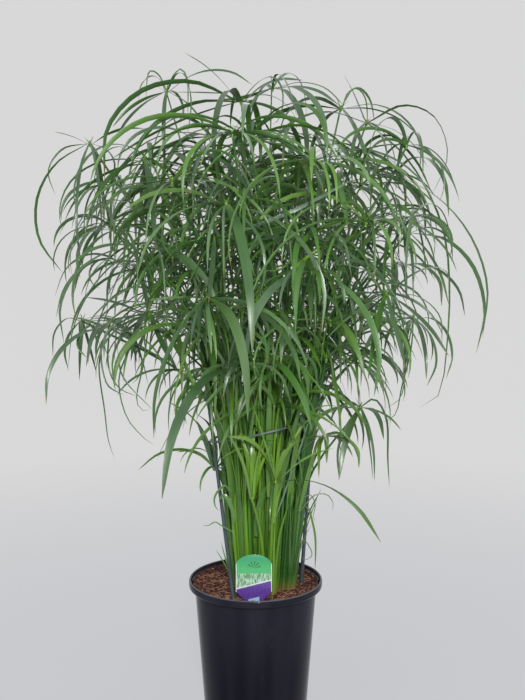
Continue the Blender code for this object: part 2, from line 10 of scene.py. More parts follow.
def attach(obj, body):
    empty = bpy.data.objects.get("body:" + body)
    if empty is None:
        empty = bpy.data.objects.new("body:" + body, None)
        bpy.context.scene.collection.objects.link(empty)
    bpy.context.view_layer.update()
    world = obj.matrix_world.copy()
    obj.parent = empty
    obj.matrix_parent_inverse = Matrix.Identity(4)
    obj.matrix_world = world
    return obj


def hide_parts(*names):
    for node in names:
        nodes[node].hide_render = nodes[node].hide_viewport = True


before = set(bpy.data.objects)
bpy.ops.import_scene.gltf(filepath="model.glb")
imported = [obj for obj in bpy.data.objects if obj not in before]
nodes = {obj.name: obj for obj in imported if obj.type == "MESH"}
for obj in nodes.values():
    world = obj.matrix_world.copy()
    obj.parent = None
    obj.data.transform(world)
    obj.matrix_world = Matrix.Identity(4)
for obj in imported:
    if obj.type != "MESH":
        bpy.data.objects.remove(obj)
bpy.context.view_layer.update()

scene = bpy.context.scene
print("frame loaded:", len(nodes), "nodes")


# small helpers for modelling with operators

def letGo():
    bpy.ops.object.select_all(action="DESELECT")


def only(obj):
    letGo()
    obj.select_set(True)
    bpy.context.view_layer.objects.active = obj


def pick(obj, kind, wanted):
    # in edit mode: selects the corners, edges or faces whose middle and normal pass the test
    bpy.ops.mesh.select_mode(type=kind)
    bpy.ops.mesh.select_all(action="DESELECT")
    shape = bmesh.from_edit_mesh(obj.data)
    shape.normal_update()
    if kind == "VERT":
        found = [v for v in shape.verts if wanted(v.co, v.normal)]
    elif kind == "EDGE":
        found = [e for e in shape.edges
                 if all(wanted(v.co, v.normal) for v in e.verts)]
    else:
        found = [f for f in shape.faces if wanted(f.calc_center_median(), f.normal)]
    for item in found:
        item.select = True
    shape.select_flush_mode()
    bmesh.update_edit_mesh(obj.data)


def stretch(scale, centre):
    bpy.ops.transform.resize(value=scale, center_override=centre)


def move(step):
    bpy.ops.transform.translate(value=step)


def push(step):
    bpy.ops.mesh.extrude_region_move(TRANSFORM_OT_translate={"value": step})


def settle(obj):
    # puts the object's place into its mesh
    only(obj)
    bpy.ops.object.transform_apply(location=True, rotation=True, scale=True)


def begin(operator, **settings):
    # adds a primitive, with nothing else selected, and opens it in edit mode
    letGo()
    operator(**settings)
    obj = bpy.context.active_object
    settle(obj)
    bpy.ops.object.mode_set(mode="EDIT")
    return obj


def end(obj, degrees=None):
    # closes a piece: its faces outwards, and smooth but for edges that turn more than this
    bpy.ops.object.mode_set(mode="OBJECT")
    faceOut(obj)
    if degrees:
        soften(obj, degrees)


def drawOut(outline):
    # carries the selected round edge on through each radius and height
    radius, level = outline[0]
    for wider, higher in outline[1:]:
        push((0, 0, higher - level))
        stretch((wider / radius, wider / radius, 1), (0, 0, higher))
        radius, level = wider, higher


def hang(name, data):
    obj = bpy.data.objects.new(name, data)
    scene.collection.objects.link(obj)
    return obj


def meshFrom(name, corners, faces, marked):
    # a mesh from lists of arrays, with a number at each corner for every mark
    mesh = bpy.data.meshes.new(name)
    mesh.from_pydata(np.concatenate(corners).tolist(), [], faces)
    for mark, values in marked.items():
        attribute = mesh.attributes.new(mark, "FLOAT", "POINT")
        attribute.data.foreach_set("value", np.concatenate(values))
    return mesh


def applyAll(obj):
    only(obj)
    for modifier in list(obj.modifiers):
        bpy.ops.object.modifier_apply(modifier=modifier.name)


def faceOut(obj):
    only(obj)
    bpy.ops.object.mode_set(mode="EDIT")
    bpy.ops.mesh.select_all(action="SELECT")
    bpy.ops.mesh.remove_doubles(threshold=1e-6)
    bpy.ops.mesh.normals_make_consistent(inside=False)
    bpy.ops.object.mode_set(mode="OBJECT")


def soften(obj, degrees):
    obj.data.shade_smooth()
    obj.data.set_sharp_from_angle(angle=math.radians(degrees))


def handOver(obj, name, finish, slot, *replaced):
    # names a finished piece, gives it its finish and hangs it on the plant's one body
    obj.name = obj.data.name = name
    obj.data.materials.clear()
    obj.data.materials.append(finish)
    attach(obj, "root")
    if replaced:
        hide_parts(*replaced)


def colour(red, green, blue):
    # from screen values of 0 to 255
    return tuple(((c / 255 + 0.055) / 1.055) ** 2.4 if c > 10 else c / 255 / 12.92
                 for c in (red, green, blue)) + (1.0,)


# shader maths

class Shade:
    def __init__(self, tree, socket=None):
        self.tree, self.socket = tree, socket

    def node(self, kind, settings=(), values=(), output=0):
        made = self.tree.nodes.new("ShaderNode" + kind)
        for name, value in dict(settings).items():
            setattr(made, name, value)
        for name, value in dict(values).items():
            if isinstance(value, Shade):
                self.tree.links.new(value.socket, made.inputs[name])
            else:
                made.inputs[name].default_value = value
        return Shade(self.tree, made.outputs[output])

    def sign(self, operation, first, second):
        return self.node("Math", {"operation": operation}, {0: first, 1: second})

    def __add__(self, other):
        return self.sign("ADD", self, other)

    def __sub__(self, other):
        return self.sign("SUBTRACT", self, other)

    def __rsub__(self, other):
        return self.sign("SUBTRACT", other, self)

    def __mul__(self, other):
        return self.sign("MULTIPLY", self, other)

    def __truediv__(self, other):
        return self.sign("DIVIDE", self, other)

    __radd__, __rmul__ = __add__, __mul__

    def limit(self):
        return self.node("Clamp", (), {"Value": self})

    def wave(self):
        return self.node("Math", {"operation": "SINE"}, {0: self})

    def size(self):
        return self.node("Math", {"operation": "ABSOLUTE"}, {0: self})

    def between(self, low, high):
        # 0 at low, 1 at high, with a soft start and end
        return self.node("MapRange", {"interpolation_type": "SMOOTHSTEP"},
                         {"Value": self, "From Min": low, "From Max": high})

    def mix(self, first, second):
        # self is the share of the second colour
        return self.node("Mix", {"data_type": "RGBA"}, {0: self, 6: first, 7: second}, 2)


def newFinish(name, gloss):
    mat = bpy.data.materials.new(name)
    mat.use_nodes = True
    shader = mat.node_tree.nodes["Principled BSDF"]
    for socket, value in gloss.items():
        shader.inputs[socket].default_value = value
    return mat, Shade(mat.node_tree), shader


def plug(mat, shader, **links):
    for name, value in links.items():
        mat.node_tree.links.new(value.socket, shader.inputs[name.replace("_", " ")])


def bump(shade, height, strength, distance):
    return shade.node("Bump", (), {"Height": height, "Strength": strength,
                                   "Distance": distance})


def grains(shade, scale, stretched=(1, 1, 1), detail=3.0):
    # noise on object coordinates
    placed = shade.node("Mapping", (), {"Vector": shade.node("TexCoord", output="Object"),
                                        "Scale": stretched})
    return shade.node("TexNoise", (), {"Vector": placed, "Scale": scale, "Detail": detail})


def placeOf(shade, axis):
    return shade.node("SeparateXYZ", (), {0: shade.node("TexCoord", output="Object")}, axis)


def stripPlace(shade, axis):
    # X runs across or round a strip, and Y along it
    return shade.node("SeparateXYZ", (), {0: shade.node("UVMap", {"uv_map": "strip"})}, axis)


def markOf(shade, name):
    # a number that each leaf, stem, fibre or chip carries
    return shade.node("Attribute", {"attribute_name": name}, output="Fac")


# leaves and stems are strips laid along lines; each kind of strip is modelled once

bladeShape = {
    "widths": (0.52, 0.70, 0.84, 0.93, 0.98, 1.0, 1.0, 0.98, 0.94, 0.88, 0.79, 0.68,
               0.53, 0.33, 0.04),
    "short": (0.5, 0.9, 1.0, 0.8, 0.45, 0.05),
    "channel": 0.22,  # depth of the fold along the middle, as a share of half the width
    "thickness": 0.15,
    "sharpFrom": 62,  # edges that turn more than this, in degrees, stay sharp
}
culmShape = {
    "sides": 7,
    "radii": (1.40, 1.24, 1.10, 1.0, 0.92, 0.84, 0.78, 0.72, 0.66, 0.60, 0.55),
}
bladeStations, culmStations = len(bladeShape["widths"]), len(culmShape["radii"])
marks = ("tone", "youth", "bloom", "dryness")


def modelStrip(sides, widths, firstShape=None):
    # a rod along +Y of unit radius, drawn out one station at a time
    strip = begin(bpy.ops.mesh.primitive_cylinder_add, vertices=sides, radius=1, depth=1,
                  location=(0, 0.5, 0), rotation=(-math.pi / 2, 0, 0))
    if firstShape:
        firstShape(strip)
    pick(strip, "VERT", lambda p, n: p.y < 0.5)
    stretch((widths[0], 1, widths[0]), (0, 0, 0))
    pick(strip, "VERT", lambda p, n: p.y > 0.5)
    stretch((widths[1], 1, widths[1]), (0, 1, 0))
    pick(strip, "FACE", lambda p, n: p.y > 0.9 and n.y > 0.9)
    for i in range(2, len(widths)):
        push((0, 1, 0))
        change = widths[i] / widths[i - 1]
        stretch((change, 1, change), (0, i, 0))
    end(strip)
    return strip


def channelled(strip):
    # turns the square rod into a thin blade with a shallow channel on top
    deep, thick = bladeShape["channel"], bladeShape["thickness"]
    pick(strip, "VERT", lambda p, n: p.z > 0.5)
    move((0, 0, -1 - deep))
    pick(strip, "VERT", lambda p, n: p.z < -0.5)
    move((0, 0, 1 - deep - thick))


def readStrip(strip, widths, flat):
    # keeps the strip's corners, their stations, its faces and its UVs as arrays
    mesh = strip.data
    points = np.array([v.co for v in mesh.vertices])
    station = np.rint(points[:, 1]).astype(int)
    faces = [tuple(p.vertices) for p in mesh.polygons]
    uvs = []
    for face in mesh.polygons:
        middle = math.atan2(face.center.z, face.center.x)
        for corner in face.vertices:
            p = points[corner]
            if flat:
                u = 0.5 + 0.5 * p[0] / widths[station[corner]] + (1 if face.normal.z < 0 else 0)
            else:
                turn = math.atan2(p[2], p[0]) - middle
                u = (middle + (turn + math.pi) % (2 * math.pi) - math.pi) / (2 * math.pi) + 0.5
            uvs.append((u, station[corner] / (len(widths) - 1)))
    bpy.data.objects.remove(strip)
    return {"points": points, "station": station, "faces": faces, "uvs": np.array(uvs)}


bladeStrip = readStrip(modelStrip(4, bladeShape["widths"], channelled),
                       bladeShape["widths"], True)
shortStrip = readStrip(modelStrip(4, bladeShape["short"], channelled),
                       bladeShape["short"], True)
culmStrip = readStrip(modelStrip(culmShape["sides"], culmShape["radii"]),
                      culmShape["radii"], False)
print("strips modelled:", len(bladeStrip["faces"]), "and", len(culmStrip["faces"]), "faces")


def unit(rows):
    return rows / np.maximum(np.linalg.norm(rows, axis=1, keepdims=True), 1e-9)


def layStrips(name, jobs):
    # one mesh of many strips; a job holds a strip, its line, sides, half width and marks
    corners, faces, uvs = [], [], []
    marked = {mark: [] for mark in marks}
    start = 0
    for job in jobs:
        strip, line = job["strip"], job["line"]
        along = unit(np.gradient(line, axis=0))
        side = job["side"] - along * np.sum(job["side"] * along, axis=1, keepdims=True)
        side = unit(side)
        for i in range(1, len(side)):  # no sudden turn-over between two stations
            if side[i] @ side[i - 1] < 0:
                side[i] = -side[i]
        up = np.cross(along, side)
        roll = np.radians(job.get("roll", np.zeros(len(line))))[:, None]
        side, up = (side * np.cos(roll) + up * np.sin(roll),
                    up * np.cos(roll) - side * np.sin(roll))
        at = strip["station"]
        half = job["half"] * job.get("swell", np.ones(len(line)))[at][:, None]
        corners.append(line[at] + half * (up[at] * strip["points"][:, 2:]
                                          - side[at] * strip["points"][:, :1]))
        faces += [tuple(i + start for i in face) for face in strip["faces"]]
        uvs.append(strip["uvs"])
        for mark, values in marked.items():
            values.append(np.full(len(at), job.get(mark, 0.0)))
        start += len(at)
    mesh = meshFrom(name, corners, faces, marked)
    mesh.uv_layers.new(name="strip").data.foreach_set("uv", np.concatenate(uvs).ravel())
    obj = hang(name, mesh)
    soften(obj, bladeShape["sharpFrom"])
    return obj


def smoothLine(points, count, finer=16):
    # a curve through the points, read at even steps
    points = np.array(points, float)
    ends = np.vstack([2 * points[0] - points[1], points, 2 * points[-1] - points[-2]])
    dense = []
    for i in range(1, len(ends) - 2):
        a, b, c, d = ends[i - 1:i + 3]
        for t in np.linspace(0, 1, finer, endpoint=False):
            dense.append(0.5 * (2 * b + (c - a) * t + (2 * a - 5 * b + 4 * c - d) * t * t
                                + (3 * b - a - 3 * c + d) * t ** 3))
    dense.append(ends[-2])
    dense = np.array(dense)
    run = np.concatenate([[0], np.cumsum(np.linalg.norm(np.diff(dense, axis=0), axis=1))])
    wanted = np.linspace(0, run[-1], count)
    return np.stack([np.interp(wanted, run, dense[:, i]) for i in range(3)], axis=1)


def freeLine(start, bearing, length, launch, fall, sweep=0.0, bend=1.15, count=bladeStations,
             finer=4):
    # leaves at its bearing and launch angle and bends down to its fall angle
    steps = (count - 1) * finer
    t = (np.arange(steps) + 0.5) / steps
    climb = np.radians(launch - (launch + fall) * t ** bend)
    heading = np.radians(bearing + sweep * t)
    along = np.stack([np.cos(heading) * np.cos(climb), np.sin(heading) * np.cos(climb),
                      np.sin(climb)], axis=1)
    line = np.vstack([np.zeros(3), np.cumsum(along, axis=0) * length / steps]) + start
    turned = np.radians(bearing + sweep * np.linspace(0, 1, count))
    side = np.stack([-np.sin(turned), np.cos(turned), np.zeros(count)], axis=1)
    return line[::finer], side


def grownLine(start, bearing, kind, chance):
    # a free line drawn from the ranges of a kind of leaf
    return freeLine(start, bearing, *(chance.uniform(*kind[part]) for part in
                                      ("length", "launch", "fall", "sweep", "bend")))


def ramp(value, low, rise):
    # 0 up to low, and 1 from there a rise further on
    return min(1.0, max(0.0, (value - low) / rise))


def anywhere(reach, chance):
    # a turn and a distance that fill a round patch evenly
    return chance.uniform(0, 2 * math.pi), reach * math.sqrt(chance.random())


def spotAt(middle, turn, out, level):
    return np.array([middle[0] + out * math.cos(turn), middle[1] + out * math.sin(turn), level])


# what the CAD solids say: where each bract and each culm runs

cadShape = {
    "merged": 1e-5,
    "hubMiddle": 0.0095, "hubEdge": 0.0105,  # a hub's corners lie within these of its middle
    "root": 0.0035,  # a bract's line begins this far out from its hub's middle
    "free": 0.1975,  # culms run free over this height
    "ringCorners": 4, "topCorners": 3,  # of a bract's ring, and of a culm that has a crown
}


def mergedCopy(node):
    shape = bmesh.new()
    shape.from_mesh(nodes[node].data)
    bmesh.ops.remove_doubles(shape, verts=shape.verts, dist=cadShape["merged"])
    shape.verts.ensure_lookup_table()
    return shape


def island(first, allowed):
    # the corners that hang together with the first one
    group, grow = {first}, [first]
    while grow:
        for e in grow.pop().link_edges:
            for o in e.verts:
                if o in allowed and o not in group:
                    group.add(o)
                    grow.append(o)
    return group


def layers(first, allowed):
    # rings of corners, from the first ring outwards
    rings, seen = [first], set(first)
    while True:
        step = {e.other_vert(v) for v in rings[-1] for e in v.link_edges} & allowed - seen
        if not step:
            return rings
        rings.append(list(step))
        seen |= step


def readArm(hub, rings):
    # a bract's line, sides, full width, length, bearing and launch angle
    middles, sides, widths = [], [], []
    for ring in rings:
        if len(ring) < cadShape["ringCorners"]:
            middles.append(np.array(ring[0].co))
            continue
        a, b = max(((p, q) for p in ring for q in ring if p.index < q.index),
                   key=lambda pair: (pair[0].co - pair[1].co).length)
        keel = sum((c.co for c in ring if c not in (a, b)), Vector()) / 2
        middle = (a.co + b.co) / 2
        before = Vector(middles[-1] if middles else hub)
        side = (a.co - b.co).normalized()
        if (middle - before).cross(side).dot(middle - keel) < 0:
            side = -side
        middles.append(np.array(middle))
        sides.append(np.array(side))
        widths.append((a.co - b.co).length)
    out = np.array(middles[0]) - hub
    out[2] = 0
    root = hub + out / np.linalg.norm(out) * cadShape["root"]
    line = smoothLine([root] + middles, bladeStations)
    anchors = np.linspace(0, 1, len(sides) + 2)[1:-1]
    side = np.stack([np.interp(np.linspace(0, 1, bladeStations), anchors,
                               np.array(sides)[:, i]) for i in range(3)], axis=1)
    run = np.linalg.norm(np.diff(line, axis=0), axis=1).sum()
    start = line[2] - line[0]
    return {"line": line, "side": side, "width": max(widths), "length": run,
            "bearing": math.degrees(math.atan2(out[1], out[0])) % 360,
            "launch": math.degrees(math.atan2(start[2], math.hypot(*start[:2])))}


def readCrown(node):
    # the hub's middle and its bracts
    shape = mergedCopy(node)
    places = np.array([v.co for v in shape.verts])
    gaps = np.linalg.norm(places[:, None] - places[None], axis=2)
    centre = int((gaps < cadShape["hubMiddle"]).sum(axis=1).argmax())
    hubCorners = {v for v in shape.verts if gaps[centre][v.index] < cadShape["hubEdge"]}
    hub = np.mean([v.co for v in hubCorners], axis=0)
    rest = set(shape.verts) - hubCorners
    arms, used = [], set()
    for v in sorted(rest, key=lambda c: c.index):
        if v in used or not any(e.other_vert(v) in hubCorners for e in v.link_edges):
            continue
        group = island(v, rest)
        used |= group
        first = [c for c in group if any(e.other_vert(c) in hubCorners for e in c.link_edges)]
        arms.append(readArm(hub, layers(first, group)))
    shape.free()
    return hub, arms


def readClump(node):
    # each culm's line, and whether it carries a crown
    shape = mergedCopy(node)
    free = {v for v in shape.verts if v.co.z > cadShape["free"]}
    culms, used = [], set()
    for v in sorted(free, key=lambda c: c.index):
        roots = [e.other_vert(v) for e in v.link_edges if e.other_vert(v) not in free]
        if v in used or not roots:
            continue
        group = island(v, free)
        used |= group
        first = [c for c in group if abs(c.co.z - v.co.z) < 1e-4]
        feet = {e.other_vert(c) for c in first for e in c.link_edges} - free
        foot = sum((c.co for c in feet), Vector()) / len(feet)
        rings = layers(first, group)
        line = [np.array(foot)] + [np.mean([c.co for c in ring], axis=0) for ring in rings]
        culms.append({"line": line, "crowned": len(rings[-1]) == cadShape["topCorners"]})
    shape.free()
    return culms


crownNames = sorted(n for n in nodes if n.startswith("leaf_crown_"))
clumpNames = sorted(n for n in nodes if n.startswith("stem_clump_"))
crowns = {name: readCrown(name) for name in crownNames}
clumps = {name: readClump(name) for name in clumpNames}
print("read:", sum(len(arms) for _, arms in crowns.values()), "bracts and",
      sum(len(culms) for culms in clumps.values()), "culms")


# finishes of the plant

leafLook = {
    "deep": colour(26, 62, 20),
    "green": colour(60, 105, 29),
    "fresh": colour(126, 172, 34),
    # the underside's paler green: partly its own colour, partly painted light shining through the
    # blade
    "under": colour(78, 122, 46),
    # painted sheen: the grey-green that the upper faces seem to reflect
    "bloom": colour(110, 125, 110),
    "dry": colour(146, 104, 58),
    "veins": 13.0,
    # shares of the way along a leaf
    "paleFoot": (0.0, 0.14), "dryTip": (0.88, 1.0), "dullTip": (0.74, 0.98),
}
culmLook = {
    "deep": colour(28, 72, 28),
    "green": colour(62, 116, 22),
    "bright": colour(106, 152, 34),
    "foot": colour(128, 154, 74),
    "sheath": colour(132, 92, 48),
    "ridges": 75,
    # heights at which the culms get painted shade, lose their pale foot and end their brown sheath
    "paintedShade": (0.40, 0.62), "paleFoot": (0.195, 0.225), "sheathTop": (0.198, 0.212),
}


def leafFinish():
    mat, shade, shader = newFinish("fresh_leaf", {"Specular IOR Level": 0.62,
                                                  "Coat Roughness": 0.27,
                                                  "Coat Tint": (0.86, 0.94, 1.0, 1.0)})
    across, along = stripPlace(shade, "X"), stripPlace(shade, "Y")
    tone, youth, bloom, dryness = (markOf(shade, mark) for mark in marks)
    patches = grains(shade, 26.0, detail=2.0)
    underside = across.between(0.99, 1.01)
    paleFoot = 1 - along.between(*leafLook["paleFoot"])
    # painted sheen: a grey-green reflection mixed into the colour, less on the underside; the same
    # number sets the coat gloss
    sheenShare = (1 - underside * 0.4) * (1 - youth).limit() * bloom * (0.08 + patches * 0.55)
    dryTip = along.between(*leafLook["dryTip"]) * dryness
    strands = shade.node("CombineXYZ", (), {0: across * leafLook["veins"], 1: along * 1.5,
                                            2: tone * 40})
    veins = shade.node("TexNoise", (), {"Vector": strands, "Scale": 1.6, "Detail": 2.0})
    midrib = 1 - ((across - underside - 0.5) * (across - underside - 0.5) * 260).limit()
    body = (tone * 1.0 + patches * 0.5 - 0.3).limit().mix(leafLook["deep"], leafLook["green"])
    body = (youth + paleFoot * 0.30).limit().mix(body, leafLook["fresh"])
    # a paler underside: its own paler green with painted light shining through the blade
    body = (underside * 0.35).mix(body, leafLook["under"])
    body = sheenShare.mix(body, leafLook["bloom"])
    body = dryTip.mix(body, leafLook["dry"])
    body = (veins.between(0.35, 0.75) * 0.22).mix(body, leafLook["under"])
    worn = along.between(*leafLook["dullTip"])
    plug(mat, shader, Base_Color=body,
         Roughness=0.30 + patches * 0.14 + worn * 0.22 + dryTip * 0.2,
         Coat_Weight=(0.14 + bloom * 0.46) * (1 - worn * 0.85),
         Normal=bump(shade, veins - midrib * 0.6, 0.30, 0.0003))
    return mat


def culmFinish():
    mat, shade, shader = newFinish("green_culm", {"Specular IOR Level": 0.5,
                                                  "Coat Roughness": 0.3, "Coat Weight": 0.15})
    height, tone, youth = placeOf(shade, "Z"), markOf(shade, "tone"), markOf(shade, "youth")
    ridges = (stripPlace(shade, "X") * culmLook["ridges"]).wave()
    streaks = grains(shade, 30.0, (1, 1, 0.12))
    paleFoot = 1 - height.between(*culmLook["paleFoot"])
    sheath = 1 - (height + tone * 0.008).between(*culmLook["sheathTop"])
    body = (tone * 1.1 + streaks * 0.4 - 0.1).limit().mix(culmLook["deep"], culmLook["green"])
    body = (youth * 0.9).mix(body, culmLook["bright"])
    # painted shade: the culms turn darker inside the crowns, over these heights
    body = (height.between(*culmLook["paintedShade"]) * 0.75).mix(body, culmLook["deep"])
    body = (paleFoot * 0.36).mix(body, culmLook["foot"])
    body = (sheath * streaks.between(0.45, 0.6) * 0.5).limit().mix(body, culmLook["sheath"])
    plug(mat, shader, Base_Color=body, Roughness=0.34 + streaks * 0.18,
         Normal=bump(shade, ridges, 0.25, 0.0002))
    return mat


leafMat, culmMat = leafFinish(), culmFinish()


# crowns: the bracts of the CAD solids, with narrower ones between them

crownPlan = {
    # fewest and most bracts of a crown whose hub lies under each height
    "tiers": ((0.58, 10, 12), (0.80, 12, 16), (1.10, 8, 11)),
    "openRight": 0.115, "openLeft": -0.165, "fewerThere": 3,  # crowns past these have fewer
    # how much wider than the solids' the bracts are, and those of crowns in front of a depth
    "fuller": 1.08, "front": -0.07, "frontFuller": 1.02,
    "young": {"leaf_crown_16": 0.62, "leaf_crown_17": 0.10, "leaf_crown_25": 0.40,
              "leaf_crown_32": 0.64},  # the youth of these; all the others are full grown
    "fanFrom": 0.5,  # crowns with more youth than this still stand open like a fan
    "closed": "leaf_crown_32",
    # old bracts that hang under a young crown: their bearing and share of the width
    "slackBearing": 265, "slackRoom": 25, "slackWidth": 0.45,
    # the long leaf that arches out to the right at the foot
    "arched": "leaf_crown_16", "archedBearing": 315, "archedRoom": 12,
    "archedYouth": 0.15, "archedRoll": (-25, 10),
    "archedSwell": (1, 1, 0.95, 0.9, 0.85, 0.85, 0.9, 1.0, 1.2, 1.5, 1.8, 2.0, 2.1, 1.9, 1.3),
    "sheenShare": (0.05, 0.8), "lessSheenFrom": 0.011,  # the broadest bracts have half the painted grey sheen and coat gloss
    # the bracts between those of the solids, with lengths as shares of their neighbours'
    "place": (0.35, 0.65), "width": (0.0022, 0.0070), "share": (0.62, 1.12),
    "tries": 16, "shorter": 0.035, "lifted": (-14, 34),
    "plain": {"fall": (62, 104), "steeper": 1, "sweep": (-30, 30), "bend": (0.9, 1.4),
              "widest": 0.0070},
    "curl": {"fall": (120, 210), "steeper": 0, "sweep": (-55, 55), "bend": (1.3, 2.2),
             "widest": 0.0042},
    "curled": 0.24,  # share of the bracts whose thin ends curl
    "fanLaunch": (60, 86), "fanFall": (-80, -25), "fanLength": (0.08, 0.15),
    "closedBract": {"length": (0.075, 0.125), "launch": (84, 91), "fall": (-38, -74),
                    "sweep": (-15, 15), "bend": (1.8, 2.8), "width": (0.0055, 0.0080)},
    # the plant's dome: how far out the finer leaves may reach at each height
    "heights": (0.34, 0.40, 0.49, 0.56, 0.65, 0.80, 0.88, 0.957, 1.0, 1.03),
    "reaches": (0.12, 0.18, 0.245, 0.295, 0.318, 0.322, 0.305, 0.255, 0.185, 0.06),
    "domeMiddle": 0.008, "rightShare": 0.94, "rightFrom": 0.1,
}
bladePlan = {
    "turned": 76.0,  # how far leaves that point sideways turn their faces to front or back
    "seenAt": 8,  # the station that says where on the plant a leaf is
    # where the leaves count as outer ones: from here on, and in full this much further
    "sides": (0.15, 0.08), "top": (0.82, 0.10),
    "narrower": 0.14, "paintedShade": 0.45, "older": 0.8,
}
heartPlan = {
    "low": -0.0050, "high": 0.0052, "radius": 0.0020,
    "swell": (0.5, 0.62, 0.80, 1.1, 1.4, 1.6, 1.55, 1.4, 1.1, 0.85, 0.3),
    "spikelets": 6, "length": (0.008, 0.022), "launch": (25, 80), "fall": (-60, 10),
    "half": (0.0005, 0.0009),
}


def inDome(line):
    out = np.hypot(line[:, 0] - crownPlan["domeMiddle"], line[:, 1])
    out = np.where(line[:, 0] > crownPlan["rightFrom"], out / crownPlan["rightShare"], out)
    return (out < np.interp(line[:, 2], crownPlan["heights"], crownPlan["reaches"])).all()


def twisted(line, chance):
    # a slow turn of the blade about its own line, which is larger for leaves that point sideways
    away = line[-1, :2] - line[0, :2]
    sideways = abs(away[0]) / max(np.linalg.norm(away), 0.001)
    turn = chance.gauss(0, 18) + chance.choice((-1, 1, 1)) * bladePlan["turned"] * sideways
    early = chance.uniform(-6, 6)
    t = np.linspace(0, 1, bladeStations)
    return early * np.sin(t * math.pi) + turn * t ** 0.8


def asBlade(line, side, width, chance, **given):
    # the leaves at the top and the sides get painted shade, a darker tone, and more of them a painted
    # grey sheen
    seen = line[bladePlan["seenAt"]]
    wide = ramp(abs(seen[0]), *bladePlan["sides"])
    outer = max(wide, ramp(seen[2], *bladePlan["top"]))
    job = {"strip": bladeStrip, "line": line, "side": side,
           "half": width / 2 * (1 - bladePlan["narrower"] * wide), "roll": twisted(line, chance),
           "tone": chance.random() * (1 - bladePlan["paintedShade"] * outer),
           "youth": max(0.0, chance.gauss(0.01, 0.08) - 0.06 * outer),
           "bloom": chance.random() ** (2 - 1.3 * outer),
           "dryness": chance.choice((0, 0, 0, 0, 0.3, 0.6))}
    job.update(given)
    job["youth"] *= 1 - bladePlan["older"] * outer
    return job


def widestGap(bearings):
    bearings = sorted(b % 360 for b in bearings)
    return max((((bearings[(i + 1) % len(bearings)] - b) % 360 or 360), b)
               for i, b in enumerate(bearings))


def moreBracts(hub, arms, count, youth, chance):
    # thinner bracts in the widest gaps, shaped like their neighbours
    known = [(a["bearing"], a["length"], a["launch"]) for a in arms]
    fan = youth > crownPlan["fanFrom"]
    made = []
    while len(known) < count:
        gap, first = widestGap([k[0] for k in known])
        bearing = (first + gap * chance.uniform(*crownPlan["place"])) % 360
        near = sorted(known[:len(arms)],
                      key=lambda k: abs((k[0] - bearing + 180) % 360 - 180))[:2]
        length = sum(k[1] for k in near) / len(near)
        launch = sum(k[2] for k in near) / len(near)
        width = chance.uniform(*crownPlan["width"])
        curled = chance.random() < crownPlan["curled"]
        kind = crownPlan["curl" if curled and not fan else "plain"]
        for attempt in range(crownPlan["tries"]):
            reach = length * chance.uniform(*crownPlan["share"])
            reach *= 1 - crownPlan["shorter"] * attempt
            fall = chance.uniform(*kind["fall"]) + kind["steeper"] * attempt
            lifted = chance.uniform(*crownPlan["lifted"])
            if fan:
                launch, lifted = chance.uniform(*crownPlan["fanLaunch"]), 0
                fall = chance.uniform(*crownPlan["fanFall"])
                reach = chance.uniform(*crownPlan["fanLength"])
            line, side = freeLine(hub, bearing, reach, launch + lifted, fall,
                                  chance.uniform(*kind["sweep"]), chance.uniform(*kind["bend"]))
            if inDome(line):
                made.append(asBlade(line, side, min(width, kind["widest"]), chance,
                                    youth=max(0.0, chance.gauss(youth, 0.10))))
                break
        known.append((bearing, length, launch))
    return made


def closedBracts(hub, count, youth, chance):
    # young bracts that still stand upright round each other and only open at their tips
    kind = crownPlan["closedBract"]
    jobs = []
    for i in range(count):
        bearing = 360 * (i + chance.uniform(-0.25, 0.25)) / count
        line, side = grownLine(hub, bearing, kind, chance)
        jobs.append(asBlade(line, side, chance.uniform(*kind["width"]), chance,
                            youth=chance.gauss(youth, 0.1)))
    return jobs


def heart(hub, chance, size=1.0):
    # the small knob on which the bracts meet, and the pale spikelets on it
    rise = np.linspace(heartPlan["low"], heartPlan["high"], culmStations)[:, None]
    jobs = [{"strip": culmStrip, "line": hub + np.array([[0, 0, 1.0]]) * rise,
             "side": np.array([[1.0, 0, 0]]), "half": heartPlan["radius"] * size,
             "swell": np.array(heartPlan["swell"]), "tone": 0.4, "youth": 0.4}]
    for i in range(heartPlan["spikelets"]):
        bearing = 360 * i / heartPlan["spikelets"] + chance.uniform(-20, 20)
        line, side = freeLine(hub, bearing, chance.uniform(*heartPlan["length"]) * size,
                              chance.uniform(*heartPlan["launch"]),
                              chance.uniform(*heartPlan["fall"]), count=len(bladeShape["short"]))
        jobs.append({"strip": shortStrip, "line": line, "side": side,
                     "half": chance.uniform(*heartPlan["half"]), "tone": 0.7,
                     "youth": chance.uniform(0.2, 0.7), "dryness": 0.5})
    return jobs


def ownBract(arm, hub, youth, arched, fuller, chance):
    # a bract of the solid; an old one under a young crown hangs slack and narrow
    young = max(0.0, chance.gauss(youth, 0.10))
    slack = (youth > crownPlan["fanFrom"] and arm["line"][-1, 2] < hub[2]
             and abs(arm["bearing"] - crownPlan["slackBearing"]) < crownPlan["slackRoom"])
    if slack or arched:
        young = 0.0 if slack else crownPlan["archedYouth"]
    sheened = chance.uniform(*crownPlan["sheenShare"]) * (0.5 if arm["width"] > crownPlan["lessSheenFrom"] else 1)
    job = asBlade(arm["line"], arm["side"],
                  arm["width"] * (crownPlan["slackWidth"] if slack else fuller), chance,
                  youth=young, bloom=sheened)
    if arched:
        job.update(swell=np.array(crownPlan["archedSwell"]),
                   roll=np.linspace(*crownPlan["archedRoll"], bladeStations))
    return job


